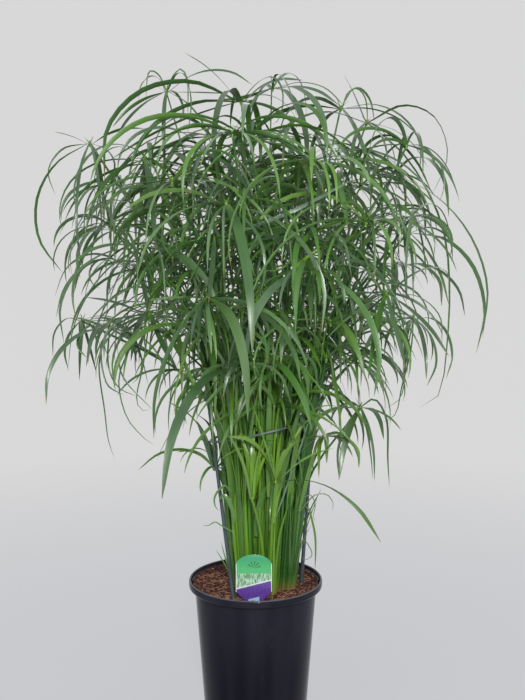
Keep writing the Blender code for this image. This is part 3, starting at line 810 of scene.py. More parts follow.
for index, name in enumerate(crownNames):
    hub, arms = crowns[name]
    chance = random.Random(100 + index)
    fewest, most = next(t[1:] for t in crownPlan["tiers"] if hub[2] < t[0])
    if not crownPlan["openLeft"] < hub[0] < crownPlan["openRight"]:
        fewest, most = fewest - crownPlan["fewerThere"], most - crownPlan["fewerThere"]
    youth = crownPlan["young"].get(name, 0.0)
    fuller = crownPlan["frontFuller" if hub[1] < crownPlan["front"] else "fuller"]
    jobs = []
    for arm in arms:
        arched = (name == crownPlan["arched"]
                  and abs(arm["bearing"] - crownPlan["archedBearing"]) < crownPlan["archedRoom"])
        jobs.append(ownBract(arm, hub, youth, arched, fuller, chance))
    if name == crownPlan["closed"]:
        jobs += closedBracts(hub, most, youth, chance)
    else:
        jobs += moreBracts(hub, arms, chance.randint(fewest, most), youth, chance)
    jobs += heart(hub, chance)
    handOver(layStrips(name + "_leaves", jobs), name.replace("leaf_crown", "crown_leaves"),
             leafMat, "bract", name)
print("crowns dressed:", len(crownNames))


# stems: the CAD culms, more between them, and the crowns inside the plant that they carry

stemPlan = {
    "centre": (0.012, 0.0), "foot": 0.1885, "waist": 0.45, "spread": 1.56,
    "ringRoom": 0.0825,  # the culms pass the waist inside this, within the ring
    "firstRise": 0.12, "halfWay": 0.52, "lowTop": 0.05,  # tops less far over the waist are low
    "radius": (0.0018, 0.0031),
    "shadedFrom": 0.040,  # further right than this the culms get painted shade, a darker tone, and are full grown
    "crownedUp": 0.0012,  # how far a culm runs on into its crown
    "shootSwell": (1, 1, 1, 1, 1, 1.05, 1.1, 1.05, 0.9, 0.6, 0.12),
    "clumpReach": 0.0145, "sideFrom": 0.06, "sideSpread": (1.5, 2.05),
}
innerPlan = {
    "crowns": 68, "heights": (0.49, 0.87), "tries": 60, "thinned": 0.6,
    # how far out the hubs may stand, which grows from a height upwards
    "from": 0.45, "over": 0.5, "nearest": 0.06, "further": 0.19, "arch": 0.74, "flat": 0.8,
    "lean": 0.16, "crowding": 0.012,  # which clump carries them
    "fewest": 11, "most": 15, "youth": (0.0, 0.30), "length": (0.12, 0.25),
    "width": (0.0032, 0.0082), "launch": (-5, 50), "fall": (55, 112), "sweep": (-30, 30),
    "bend": (0.95, 1.5), "apart": 0.3, "bladeTries": 14, "shorter": 0.04, "heart": 0.9,
}
shootPlan = {"count": 9, "reach": 0.0150, "height": (0.12, 0.34), "lean": 2.2,
             "radius": (0.0013, 0.0028), "tip": 0.25}
rightPlan = {  # old culms and a tuft of grassy leaves at the right edge
    "from": 0.04, "culms": 13, "turn": (-80, 80), "out": (0.004, 0.0145),
    "top": ((0.10, 0.17), (-0.08, 0.06), (0.56, 0.72)), "spread": (1.75, 2.05),
    "radius": (0.0022, 0.0031),
    "leaves": 24, "tuftTurn": (-100, 60), "reach": 0.0140, "bearing": (-100, 50),
    "length": (0.06, 0.19), "launch": (74, 88), "fall": (-84, -40), "sweep": (-20, 20),
    "bend": (1.6, 2.6), "width": (0.0025, 0.0055), "roll": (-50, 50), "youth": (0.0, 0.3),
    "bloom": 0.1,
}
footPlan = {  # narrow leaves from the foot of the stems
    "count": 20, "reach": 0.0130, "up": 0.004, "length": (0.12, 0.34), "launch": (84, 90),
    "fall": (-88, -72), "sweep": (-20, 20), "bend": (1.6, 2.6), "width": (0.004, 0.008),
    "youth": (0.0, 0.7), "bloom": 0.1,
}
youngPlan = {  # young leaves that open half way up the stems
    "count": 15, "reach": 0.020, "heights": (0.27, 0.50),
    "spread": 0.56, "from": 0.2, "over": 0.25, "bearing": 40, "roll": 30, "bloom": 0.15,
    "uprightShare": 0.7,
    "upright": {"length": (0.09, 0.21), "launch": (74, 86), "fall": (-78, -52),
                "sweep": (-20, 20), "bend": (1.4, 2.4), "width": (0.006, 0.012),
                "youth": (0.0, 0.5)},
    "bowed": {"length": (0.06, 0.13), "launch": (74, 86), "fall": (-50, 35),
              "sweep": (-20, 20), "bend": (1.4, 2.4), "width": (0.004, 0.0065),
              "youth": (0.3, 0.9)},
}
middleOfStems = np.array(stemPlan["centre"])


def culmLine(foot, top, spread=stemPlan["spread"]):
    # straight to the waist, inside the ring, then bending out to its crown
    foot, top = np.array(foot, float), np.array(top, float)
    out = (foot[:2] - middleOfStems) * spread
    waist = middleOfStems + out * min(1.0, stemPlan["ringRoom"] / max(np.linalg.norm(out), 1e-6))
    slope = (waist - foot[:2]) / (stemPlan["waist"] - foot[2])
    rise = top[2] - stemPlan["waist"]
    if rise < stemPlan["lowTop"]:
        return [foot] + [np.append(foot[:2] + (top[:2] - foot[:2]) * (0.55 * u + 0.45 * u * u),
                                   foot[2] + (top[2] - foot[2]) * u) for u in (0.3, 0.65, 1.0)]
    sideways = top[:2] - waist - slope * rise
    points = [foot, np.append(foot[:2] + slope * stemPlan["firstRise"],
                              foot[2] + stemPlan["firstRise"]),
              np.append(waist, stemPlan["waist"])]
    for u in (stemPlan["halfWay"], 1.0):
        points.append(np.append(waist + slope * rise * u + sideways * u * u,
                                stemPlan["waist"] + rise * u))
    return points


def asCulm(points, radius, chance, **given):
    # those on the right get painted shade, a darker tone, and are full grown
    line = smoothLine(points, culmStations)
    line[0, 2] = min(line[0, 2], stemPlan["foot"])
    shaded = line[0, 0] > stemPlan["shadedFrom"]
    job = {"strip": culmStrip, "line": line, "side": np.array([[1.0, 0, 0]]),
           "half": radius, "tone": chance.random() * (0.4 if shaded else 1.0),
           "youth": 0.0 if shaded else chance.random() ** 1.6}
    job.update(given)
    return job


def innerHubs(chance):
    # spread through the plant's inside, each as far from the others as it can be
    hubs = [np.array(hub) for hub, _ in crowns.values()]
    made = []
    for _ in range(innerPlan["crowns"]):
        best = None
        for _ in range(innerPlan["tries"]):
            height = chance.uniform(*innerPlan["heights"])
            thinned = chance.random() < innerPlan["thinned"]
            share = (height - innerPlan["from"]) / innerPlan["over"]
            reach = innerPlan["nearest"] + innerPlan["further"] * math.sin(
                min(1.0, share) * math.pi * innerPlan["arch"])
            spot = spotAt(middleOfStems, *anywhere(reach, chance), height)
            if thinned and spot[0] > crownPlan["openRight"]:
                continue
            gap = min(np.linalg.norm((spot - hub) * (1, 1, innerPlan["flat"])) for hub in hubs)
            if best is None or gap > best[0]:
                best = (gap, spot)
        hubs.append(best[1])
        made.append(best[1])
    return made


def cadCulms(name, chance):
    # the culms of the solid; those without a crown are young shoots with a point
    for culm in clumps[name]:
        points = list(culm["line"])
        radius = chance.uniform(*stemPlan["radius"])
        swell = np.array(stemPlan["shootSwell"])
        if culm["crowned"]:
            points[-1] = points[-1] + np.array([0, 0, stemPlan["crownedUp"]])
            swell = np.ones(culmStations)
        yield asCulm(points, radius, chance, swell=swell)


def innerCulm(hub, middle, chance):
    # the culm that carries a crown inside the plant
    foot = spotAt(middle, *anywhere(stemPlan["clumpReach"], chance), stemPlan["foot"])
    spread = stemPlan["spread"]
    if hub[0] > stemPlan["sideFrom"]:
        spread = chance.uniform(*stemPlan["sideSpread"])
    return asCulm(culmLine(foot, hub, spread), chance.uniform(*stemPlan["radius"]), chance)


def innerLeaves(hub, chance):
    plan = innerPlan
    count = chance.randint(plan["fewest"], plan["most"])
    first, youth = chance.uniform(0, 360), chance.uniform(*plan["youth"])
    for i in range(count):
        width = chance.uniform(*plan["width"])
        for attempt in range(plan["bladeTries"]):
            reach = chance.uniform(*plan["length"]) * (1 - plan["shorter"] * attempt)
            bearing = first + 360 * (i + chance.uniform(-plan["apart"], plan["apart"])) / count
            line, side = freeLine(hub, bearing, reach, chance.uniform(*plan["launch"]),
                                  chance.uniform(*plan["fall"]) + attempt,
                                  chance.uniform(*plan["sweep"]), chance.uniform(*plan["bend"]))
            if inDome(line):
                yield asBlade(line, side, width, chance, youth=youth)
                break


def shoots(middle, chance):
    # young culms that are still closed
    for _ in range(shootPlan["count"]):
        foot = spotAt(middle, *anywhere(shootPlan["reach"], chance), stemPlan["foot"])
        height = chance.uniform(*shootPlan["height"])
        away = (foot[:2] - middleOfStems) * height * shootPlan["lean"]
        top = foot + np.append(away, height)
        yield asCulm(culmLine(foot, top), chance.uniform(*shootPlan["radius"]), chance,
                     swell=np.linspace(1, shootPlan["tip"], culmStations))


def rightCulms(middle, chance):
    for _ in range(rightPlan["culms"]):
        foot = spotAt(middle, math.radians(chance.uniform(*rightPlan["turn"])),
                      chance.uniform(*rightPlan["out"]), stemPlan["foot"])
        top = [chance.uniform(*across) for across in rightPlan["top"]]
        yield asCulm(culmLine(foot, top, chance.uniform(*rightPlan["spread"])),
                     chance.uniform(*rightPlan["radius"]), chance)


def rightTuft(middle, chance):
    for _ in range(rightPlan["leaves"]):
        turn = math.radians(chance.uniform(*rightPlan["tuftTurn"]))
        out = rightPlan["reach"] * math.sqrt(chance.random())
        foot = spotAt(middle, turn, out, stemPlan["foot"] + footPlan["up"])
        line, side = grownLine(foot, chance.uniform(*rightPlan["bearing"]), rightPlan, chance)
        yield asBlade(line, side, chance.uniform(*rightPlan["width"]), chance,
                      roll=np.full(bladeStations, chance.uniform(*rightPlan["roll"])),
                      bloom=rightPlan["bloom"], youth=chance.uniform(*rightPlan["youth"]))


def footLeaves(middle, chance):
    for _ in range(footPlan["count"]):
        foot = spotAt(middle, *anywhere(footPlan["reach"], chance),
                      stemPlan["foot"] + footPlan["up"])
        line, side = grownLine(foot, chance.uniform(0, 360), footPlan, chance)
        yield asBlade(line, side, chance.uniform(*footPlan["width"]), chance,
                      bloom=footPlan["bloom"], youth=chance.uniform(*footPlan["youth"]))


def youngLeaves(middle, chance):
    for _ in range(youngPlan["count"]):
        spot = spotAt(middle, *anywhere(youngPlan["reach"], chance),
                      chance.uniform(*youngPlan["heights"]))
        share = 1 + youngPlan["spread"] * (spot[2] - youngPlan["from"]) / youngPlan["over"]
        start = np.append(middleOfStems + share * (spot[:2] - middleOfStems), spot[2])
        kind = youngPlan["upright" if chance.random() < youngPlan["uprightShare"] else "bowed"]
        away = math.degrees(math.atan2(start[1], start[0] - middleOfStems[0]))
        bearing = away + chance.uniform(-youngPlan["bearing"], youngPlan["bearing"])
        line, side = grownLine(start, bearing, kind, chance)
        yield asBlade(line, side, chance.uniform(*kind["width"]), chance,
                      bloom=youngPlan["bloom"],
                      roll=np.full(bladeStations, chance.gauss(0, youngPlan["roll"])),
                      youth=chance.uniform(*kind["youth"]))


middles = {name: np.mean([c["line"][0] for c in clumps[name]], axis=0) for name in clumpNames}
inner = {name: [] for name in clumpNames}
for hub in innerHubs(random.Random(5)):
    lean = middleOfStems + (hub[:2] - middleOfStems) * innerPlan["lean"]
    room = sorted(clumpNames, key=lambda n: np.linalg.norm(middles[n][:2] - lean)
                  + innerPlan["crowding"] * len(inner[n]))
    inner[room[0]].append(hub)

for index, name in enumerate(clumpNames):
    chance = random.Random(300 + index)
    middle = middles[name]
    stems, leaves = list(cadCulms(name, chance)), []
    for hub in inner[name]:
        stems.append(innerCulm(hub, middle, chance))
        leaves += innerLeaves(hub, chance)
        leaves += heart(hub, chance, innerPlan["heart"])
    stems += shoots(middle, chance)
    if middle[0] > rightPlan["from"]:
        stems += rightCulms(middle, chance)
        leaves += rightTuft(middle, chance)
    leaves += footLeaves(middle, chance)
    leaves += youngLeaves(middle, chance)
    handOver(layStrips(name, stems), name.replace("stem_clump", "stems"), culmMat, "culm", name)
    handOver(layStrips(name, leaves), name.replace("stem_clump", "inner_leaves"), leafMat,
             "bract")
print("stems and inner leaves done")


# single leaves that catch the eye: half width in millimetres, youth and points in centimetres

looseLeaves = {
    "youngRight": (3.4, 0.9, ((0, -10, 66), (3.5, -14, 67), (6, -17, 69.5), (9, -18, 72))),
    "youngLeft": (2.8, 0.8, ((4, -10, 62.5), (0.5, -13, 63.5), (-2, -15, 64), (-4, -16, 63.5))),
    "glossRight": (3.0, 0, ((-5.5, -15, 73), (1, -17.5, 75), (6, -18, 77), (13, -20, 80.5))),
    "glossLow": (1.5, 0, ((7.8, -8.6, 46.6), (6.7, -8.9, 43), (5.5, -8.9, 39.6), (4.3, -8.8, 36),
                          (2.7, -8.5, 31.4))),
    "topLoopLeft": (1.2, 0, ((-14, 2, 97.5), (-15, 1, 99.8), (-16.5, 0, 100), (-17, 0, 96))),
    "topLoopRight": (1.2, 0, ((-14, 2, 97.5), (-13, 1, 99.5), (-11.5, 0, 100.5), (-10.5, 0, 98.5),
                              (-10.5, 0, 93))),
    "topCrest": (1.5, 0, ((13, -2, 94), (15, -2, 97), (16.8, -2, 95.5), (17.2, -2, 91))),
    "leftCurlA": (2.0, 0, ((-23, 0, 60.5), (-24, -2, 57), (-23, -3, 52), (-20.5, -2, 50))),
    "leftCurlB": (1.6, 0, ((-23, 0, 60.5), (-22.5, -4, 55), (-21, -4, 51.5), (-18, -4, 50))),
    "leftCurlC": (1.6, 0, ((-15.5, -8, 62.5), (-20, -6, 57), (-20, -5, 53), (-15.5, -5, 48))),
    "leftCurlD": (1.5, 0, ((-23, 0, 60.5), (-24.5, -1, 55), (-23.5, -2, 47.5), (-23, -2, 43),
                           (-22, -2, 40))),
    "leftCurlE": (1.4, 0, ((-15.5, -8, 62.5), (-20.5, -5, 54), (-20, -4, 47.5), (-17.5, -4, 44),
                           (-15.5, -4, 42.5))),
    "leftCurlF": (1.3, 0, ((-15.5, -8, 62.5), (-17, -5, 55), (-18.2, -4, 50), (-17.5, -4, 48),
                           (-16, -4, 48))),
    "rightCurlA": (1.9, 0, ((16.5, -6, 91), (23, -4, 86), (28.5, -2, 77), (30, -2, 67),
                            (29.5, -2, 55), (28.5, -2, 50), (25.5, -2, 48))),
    "rightCurlB": (1.6, 0, ((24.5, -2, 62), (24.5, 0, 57), (23.5, 2, 51), (22.5, 2, 46.5),
                            (20, 2, 45))),
    "rightCurlC": (1.3, 0, ((24.5, -2, 62), (24, 1, 56), (23.8, 2, 51), (23, 2, 48.8),
                            (21, 2, 47.5))),
    "rightDropA": (1.9, 0, ((16, -5, 48.5), (18.5, -3, 49.5), (20.5, -2, 46), (20.7, -2, 40),
                            (21, -2, 35.5))),
    "rightDropB": (1.4, 0, ((16, -5, 48.5), (17.2, -4, 44.5), (18, -3, 40), (18.2, -3, 37))),
    "rightDropC": (2.4, 0, ((16, -5, 48.5), (14, -4, 45.5), (12.8, -3, 41.5), (13, -3, 37))),
    "footCurlA": (1.0, 0.2, ((6, -4, 31), (8.6, -4, 34.3), (9.8, -4, 34.9), (11.1, -4, 34.8),
                             (12, -4, 33.5), (11.8, -4, 32.1))),
    "footCurlB": (0.8, 0.2, ((6, -3, 26), (7.4, -3, 27.4), (8.5, -3, 26.2), (8.8, -3, 24.9),
                             (7.7, -3, 24.3), (7, -3, 24.9))),
    "footCurlC": (1.7, 0.3, ((6.5, -3, 33), (8.2, -3, 32.5), (8.8, -3, 30.6), (9.3, -3, 28.2),
                             (9.4, -3, 25.5), (9.3, -3, 22.5))),
    "footCurlD": (0.8, 0.2, ((7.4, -3, 34), (8.6, -3, 34.5), (9.3, -3, 33), (9, -3, 31.2),
                             (9.4, -3, 30.3))),
    "footCurlE": (1.0, 0.2, ((-3.2, -7.8, 30), (-5, -7.8, 31), (-6, -7.8, 31.6), (-6.9, -7.8, 31.1),
                             (-8, -7.8, 31))),
    "footCurlF": (1.9, 0.1, ((-3.6, -6, 35), (-4.4, -7.5, 37), (-5.4, -7.5, 36.4),
                             (-6.1, -7.5, 35.2), (-6, -7.5, 33.9), (-5.4, -7.5, 33.2))),
    "footBlade": (3.2, 0.2, ((-5.2, -8.4, 35.2), (-4.6, -8.8, 35.9), (-3.9, -8.8, 35),
                             (-3.3, -8.8, 33.4), (-3.1, -8.8, 31.7))),
    "footTuftA": (1.2, 0.3, ((-3.4, -5, 22), (-4.4, -6, 25), (-5.2, -6.5, 28.2))),
    "footTuftB": (1.0, 0.3, ((-3.6, -5, 22), (-4.9, -6, 25), (-6, -6.4, 27))),
}
# the listed leaves get a strong painted grey sheen and more coat gloss
loosePlan = {"sheened": ("glossRight", "glossLow"), "sheenShare": 1.7, "roll": 14,
             "faced": 0.9, "level": 0.35}  # how far they face the front and lie level


def looseJobs(chance):
    for name, (half, youth, places) in looseLeaves.items():
        bloom = loosePlan["sheenShare"] if name in loosePlan["sheened"] else chance.random() ** 1.5
        line = smoothLine(np.array(places) / 100, bladeStations)
        away = line[-1] - line[0]
        level = unit(np.array([[-away[1] + 0.02, away[0] + 0.02, 0.03]]))
        faced = unit(np.cross(np.gradient(line, axis=0), (0, -1, 0)))  # its face to the front
        faced *= np.where((faced @ level[0]) < 0, -1, 1)[:, None]
        side = unit(faced * loosePlan["faced"] + level * loosePlan["level"])
        yield asBlade(line, side, half / 500, chance, youth=youth, bloom=bloom,
                      roll=np.full(bladeStations, chance.gauss(0, loosePlan["roll"])))


handOver(layStrips("loose_leaves", list(looseJobs(random.Random(8)))), "loose_leaves", leafMat,
         "bract")
print("loose leaves done")


# pot

potPlan = {
    "corners": 128,
    # radius and height up the outside, over the rim and down the inside
    "outline": ((0.0700, 0.0026), (0.0765, 0.0026), (0.0778, 0.0), (0.0800, 0.0),
                (0.0812, 0.0006), (0.0820, 0.0020), (0.0825, 0.0060), (0.0895, 0.0950),
                (0.0960, 0.1790), (0.0965, 0.1860), (0.0968, 0.1922), (0.1020, 0.1930),
                (0.1052, 0.1936), (0.1061, 0.1948), (0.1065, 0.1965), (0.1065, 0.2012),
                (0.1063, 0.2030), (0.1058, 0.2042), (0.1051, 0.2048), (0.1044, 0.2050),
                (0.1037, 0.2047), (0.1031, 0.2040), (0.1028, 0.2028), (0.1028, 0.2006),
                (0.1022, 0.1994), (0.0962, 0.1957), (0.0952, 0.1948), (0.0950, 0.1934),
                (0.0950, 0.1885), (0.0802, 0.0034), (0.0700, 0.0030)),
    "sharpFrom": 50,
    # the paler colour carries the painted reflections on the wall
    "dark": colour(10, 11, 22), "paler": colour(37, 37, 48), "dust": colour(118, 112, 106),
    # painted highlight: the pale grey along the lip's crest
    "lipHighlight": colour(128, 128, 138),
    "palerFrom": (0.05, 0.20), "lipHighlightFrom": (0.2032, 0.2048),  # heights
}


def potPiece():
    base = potPlan["outline"][0]
    pot = begin(bpy.ops.mesh.primitive_circle_add, vertices=potPlan["corners"], radius=base[0],
                location=(0, 0, base[1]))
    pick(pot, "EDGE", lambda p, n: True)
    drawOut(potPlan["outline"])
    bpy.ops.mesh.edge_face_add()
    pick(pot, "EDGE", lambda p, n: abs(p.z - base[1]) < 1e-5 and p.xy.length < base[0] + 1e-5)
    bpy.ops.mesh.edge_face_add()
    end(pot, potPlan["sharpFrom"])
    return pot


def potFinish():
    mat, shade, shader = newFinish("black_pot_plastic", {"Specular IOR Level": 0.40, "IOR": 1.22})
    height = placeOf(shade, "Z")
    broad = grains(shade, 34.0, (1, 1, 0.05), 1.0)  # soft upright bands: moulded ribs in the bump and roughness, painted reflections in the colour
    fine = grains(shade, 420.0, detail=2.0)
    dust = grains(shade, 36.0, (1, 1, 0.6), 4.0).between(0.55, 0.80)
    # painted reflection: upright paler bands; the wall is also paler towards the top
    paler = broad.between(0.25, 0.75) * 0.5 + height.between(*potPlan["palerFrom"]) * 0.45
    # painted highlight: pale grey along the lip's crest
    lipHighlight = height.between(*potPlan["lipHighlightFrom"]) * (0.25 + fine * 0.4)  # the lip's crest
    body = paler.limit().mix(potPlan["dark"], potPlan["paler"])
    body = (dust * 0.03).mix(body, potPlan["dust"])
    body = lipHighlight.mix(body, potPlan["lipHighlight"])
    plug(mat, shader, Base_Color=body, Roughness=0.07 + broad * 0.05 + dust * 0.14,
         Normal=bump(shade, fine * 0.4 + broad * 2.0, 0.12, 0.0005))
    return mat


handOver(potPiece(), "pot_shell", potFinish(), "pot_plastic", "pot")
print("pot done")


# soil: a lumpy crust on the CAD soil, with bark chips and coir fibres on it

soilPlan = {
    "radius": 0.1000, "level": 0.1926, "corners": 110, "rings": 34, "thickness": 0.0012,
    "lumps": 0.0034, "lumpSize": 0.011, "lumpDepth": 3, "lumpMiddle": 0.35, "sharpFrom": 80,
    "heap": 0.0056, "heaped": (0.0905, 0.007),  # it rises from this radius on, over this width
    "shades": (colour(38, 20, 17), colour(94, 52, 40), colour(192, 142, 118)),
    "reach": 0.0980, "labelAt": (-0.002, -0.0805), "labelRoom": (0.012, 0.003),
}
chipPlan = {
    "count": 3900, "length": (0.0013, 0.0048), "longer": (0.7, 1, 1, 1.4),
    "width": (0.45, 0.85), "height": (0.2, 0.5),  # as shares of the length
    "tip": 0.42, "up": 0.0016, "lift": 0.0012, "liftGrain": 60,
}
fibrePlan = {
    "count": 360, "nearer": 0.89, "length": (0.006, 0.022), "bow": (-0.5, 0.5),
    "up": 0.0032, "arch": 0.0014, "inside": 0.0935,
    "half": (0.00022, 0.0005), "tone": (0.5, 1.6),
}


def soilFinish(name, light):
    mat, shade, shader = newFinish(name, {"Specular IOR Level": 0.35})
    crumbs = grains(shade, 210.0, detail=5.0)
    patches = grains(shade, 48.0, detail=3.0)
    dark, middle, pale = soilPlan["shades"]
    body = (crumbs.between(0.3, 0.7)).mix(dark, middle)
    flecks = (markOf(shade, "tone").between(0.55, 1.05) * light
              + patches.between(0.55, 0.75) * 0.25)
    body = flecks.limit().mix(body, pale)
    plug(mat, shader, Base_Color=body, Roughness=0.58 + crumbs * 0.30,
         Normal=bump(shade, crumbs, 0.7, 0.0012))
    return mat


def soilHeight(out):
    # level between the stems, and heaped up on to the ledge under the pot's lip
    share = ramp(out, *soilPlan["heaped"])
    return soilPlan["level"] + soilPlan["heap"] * share * share * (3 - 2 * share)


def soilCrust():
    rings = soilPlan["rings"]
    radii = [soilPlan["radius"] * (1 - i / rings) for i in range(rings)]
    outline = [(radius, soilHeight(radius)) for radius in radii]
    crust = begin(bpy.ops.mesh.primitive_circle_add, vertices=soilPlan["corners"],
                  radius=outline[0][0], location=(0, 0, outline[0][1]))
    pick(crust, "EDGE", lambda p, n: True)
    drawOut(outline)
    bpy.ops.mesh.edge_face_add()
    bpy.ops.mesh.poke()
    bpy.ops.object.mode_set(mode="OBJECT")
    lumps = bpy.data.textures.new("lumps", "CLOUDS")
    lumps.noise_scale, lumps.noise_depth = soilPlan["lumpSize"], soilPlan["lumpDepth"]
    raised = crust.modifiers.new("lumps", "DISPLACE")
    raised.texture, raised.texture_coords, raised.direction = lumps, "LOCAL", "Z"
    raised.mid_level, raised.strength = soilPlan["lumpMiddle"], soilPlan["lumps"]
    thick = crust.modifiers.new("thick", "SOLIDIFY")
    thick.thickness, thick.offset = soilPlan["thickness"], -1
    applyAll(crust)
    faceOut(crust)
    soften(crust, soilPlan["sharpFrom"])
    return crust


def scatter(name, template, places):
    # copies of a small shape, each with its own size and turn, as one mesh
    points = np.array([v.co for v in template.data.vertices])
    shapes = [tuple(p.vertices) for p in template.data.polygons]
    bpy.data.objects.remove(template)
    corners, faces, tones = [], [], []
    for number, (matrix, tone) in enumerate(places):
        turn = np.array(matrix.to_3x3())
        corners.append(points @ turn.T + np.array(matrix.translation))
        faces += [tuple(i + number * len(points) for i in shape) for shape in shapes]
        tones.append(np.full(len(points), tone))
    return hang(name, meshFrom(name, corners, faces, {"tone": tones}))


def chipShape():
    chip = begin(bpy.ops.mesh.primitive_cube_add, size=1)
    pick(chip, "FACE", lambda p, n: n.x > 0.9)
    stretch((1, 0.55, 0.7), (0.5, 0.1, -0.05))
    move((0.15, 0.12, 0.05))
    pick(chip, "FACE", lambda p, n: n.x < -0.9)
    stretch((1, 0.7, 0.6), (-0.5, -0.15, 0.1))
    pick(chip, "FACE", lambda p, n: n.z > 0.9)
    bpy.ops.mesh.inset(thickness=0.14)
    move((0.05, -0.04, 0.10))
    bpy.ops.object.mode_set(mode="OBJECT")
    return chip


def onSoil(chance):
    # somewhere on the soil, but not where the label stands
    (labelX, labelY), (roomX, roomY) = soilPlan["labelAt"], soilPlan["labelRoom"]
    while True:
        x, y, _ = spotAt((0, 0), *anywhere(soilPlan["reach"], chance), 0)
        if abs(y - labelY) > roomY or abs(x - labelX) > roomX:
            return x, y


def chipPlaces(chance):
    for _ in range(chipPlan["count"]):
        x, y = onSoil(chance)
        length = chance.uniform(*chipPlan["length"]) * chance.choice(chipPlan["longer"])
        width = length * chance.uniform(*chipPlan["width"])
        height = length * chance.uniform(*chipPlan["height"])
        turn = Matrix.Rotation(chance.uniform(0, 6.28), 4, "Z")
        tip = (Matrix.Rotation(chance.gauss(0, chipPlan["tip"]), 4, "X")
               @ Matrix.Rotation(chance.gauss(0, chipPlan["tip"]), 4, "Y"))
        size = Matrix.Diagonal((length, width, height, 1))
        lift = chipPlan["lift"] * noise.noise(Vector((x, y, 0)) * chipPlan["liftGrain"])
        level = soilHeight(math.hypot(x, y)) + chipPlan["up"] + lift
        yield Matrix.Translation((x, y, level)) @ turn @ tip @ size, chance.random()


def fibreJobs(chance):
    for _ in range(fibrePlan["count"]):
        x, y = (c * fibrePlan["nearer"] for c in onSoil(chance))
        length = chance.uniform(*fibrePlan["length"])
        turn, bow = chance.uniform(0, 6.28), chance.uniform(*fibrePlan["bow"])
        points = []
        for t in (0, 0.35, 0.7, 1.0):
            a = turn + bow * t
            points.append((x + math.cos(a) * length * (t - 0.5),
                           y + math.sin(a) * length * (t - 0.5),
                           soilPlan["level"] + fibrePlan["up"]
                           + fibrePlan["arch"] * math.sin(t * math.pi)))
        line = smoothLine(points, culmStations)
        if np.hypot(line[:, 0], line[:, 1]).max() < fibrePlan["inside"]:
            yield {"strip": culmStrip, "line": line, "side": np.array([[0, 0, 1.0]]),
                   "half": chance.uniform(*fibrePlan["half"]),
                   "tone": chance.uniform(*fibrePlan["tone"])}


soilMat = soilFinish("coir_and_bark", 0.25)
soilNode = nodes["soil"]
soilNode.data.materials.clear()
soilNode.data.materials.append(soilMat)
handOver(soilCrust(), "soil_crust", soilMat, "soil")
handOver(scatter("bark_chips", chipShape(), chipPlaces(random.Random(21))), "bark_chips",
         soilFinish("bark_chip", 0.6), "soil")
handOver(layStrips("coir_fibres", list(fibreJobs(random.Random(22)))), "coir_fibres",
         soilFinish("coir_fibre", 0.7), "soil")
print("soil done")


# plant label: a printed card with an arched top

labelPlan = {
    "middle": (-0.002, -0.080, 0.204), "lean": math.radians(-3.0),
    "halfWidth": 0.0270, "spring": 0.0455, "arch": 0.0165, "shoulder": 0.006, "corners": 64,
    "tail": 0.0080, "tailTop": -0.012, "tip": -0.054, "tipLength": 0.006, "tipHalf": 0.0008,
    "thickness": 0.0009, "rounding": 0.00022, "sharpFrom": 35,
    "paper": colour(226, 232, 230), "tailBlue": colour(150, 196, 226),
    "meadow": (colour(88, 138, 92), colour(172, 202, 184)),
    "sky": (colour(70, 168, 104), colour(28, 140, 92)), "skyFrom": (0.0360, 0.0370),
    "purple": (colour(84, 52, 140), colour(104, 74, 160)), "purpleTo": (0.0158, 0.0164),
    "stripeAt": 0.0172, "slope": 0.25,
    # a small fan of leaves on the green field
    "fan": colour(16, 84, 48), "fanAt": 0.0415, "fanLeaves": 11, "fanSize": (1.0e-4, 1.2e-4),
    "rim": 0.0263,
}


def labelPiece():
    p = labelPlan
    card = begin(bpy.ops.mesh.primitive_circle_add, vertices=p["corners"], radius=1)
    pick(card, "VERT", lambda c, n: True)
    stretch((p["halfWidth"], p["arch"], 1), (0, 0, 0))
    pick(card, "VERT", lambda c, n: c.y < -1e-6)  # the lower half of the circle goes
    bpy.ops.mesh.delete(type="VERT")
    pick(card, "VERT", lambda c, n: True)
    bpy.ops.mesh.edge_face_add()
    move((0, p["spring"], 0))
    for low, half in ((p["shoulder"], p["halfWidth"]), (p["tailTop"], p["tail"]),
                      (p["tip"] + p["tipLength"], p["tail"]), (p["tip"], p["tipHalf"])):
        shape = bmesh.from_edit_mesh(card.data)
        lowest = min(v.co.y for v in shape.verts)
        wide = max(v.co.x for v in shape.verts if v.co.y < lowest + 1e-6)
        pick(card, "EDGE", lambda c, n: c.y < lowest + 1e-6)
        push((0, low - lowest, 0))
        stretch((half / wide, 1, 1), (0, low, 0))
    end(card)
    wall = card.modifiers.new("wall", "SOLIDIFY")
    wall.thickness, wall.offset = p["thickness"], 0
    edge = card.modifiers.new("edge", "BEVEL")
    edge.width, edge.segments, edge.limit_method = p["rounding"], 2, "ANGLE"
    applyAll(card)
    card.location = p["middle"]
    card.rotation_euler = (math.pi / 2 + p["lean"], 0, 0)
    settle(card)
    faceOut(card)
    soften(card, p["sharpFrom"])
    return card


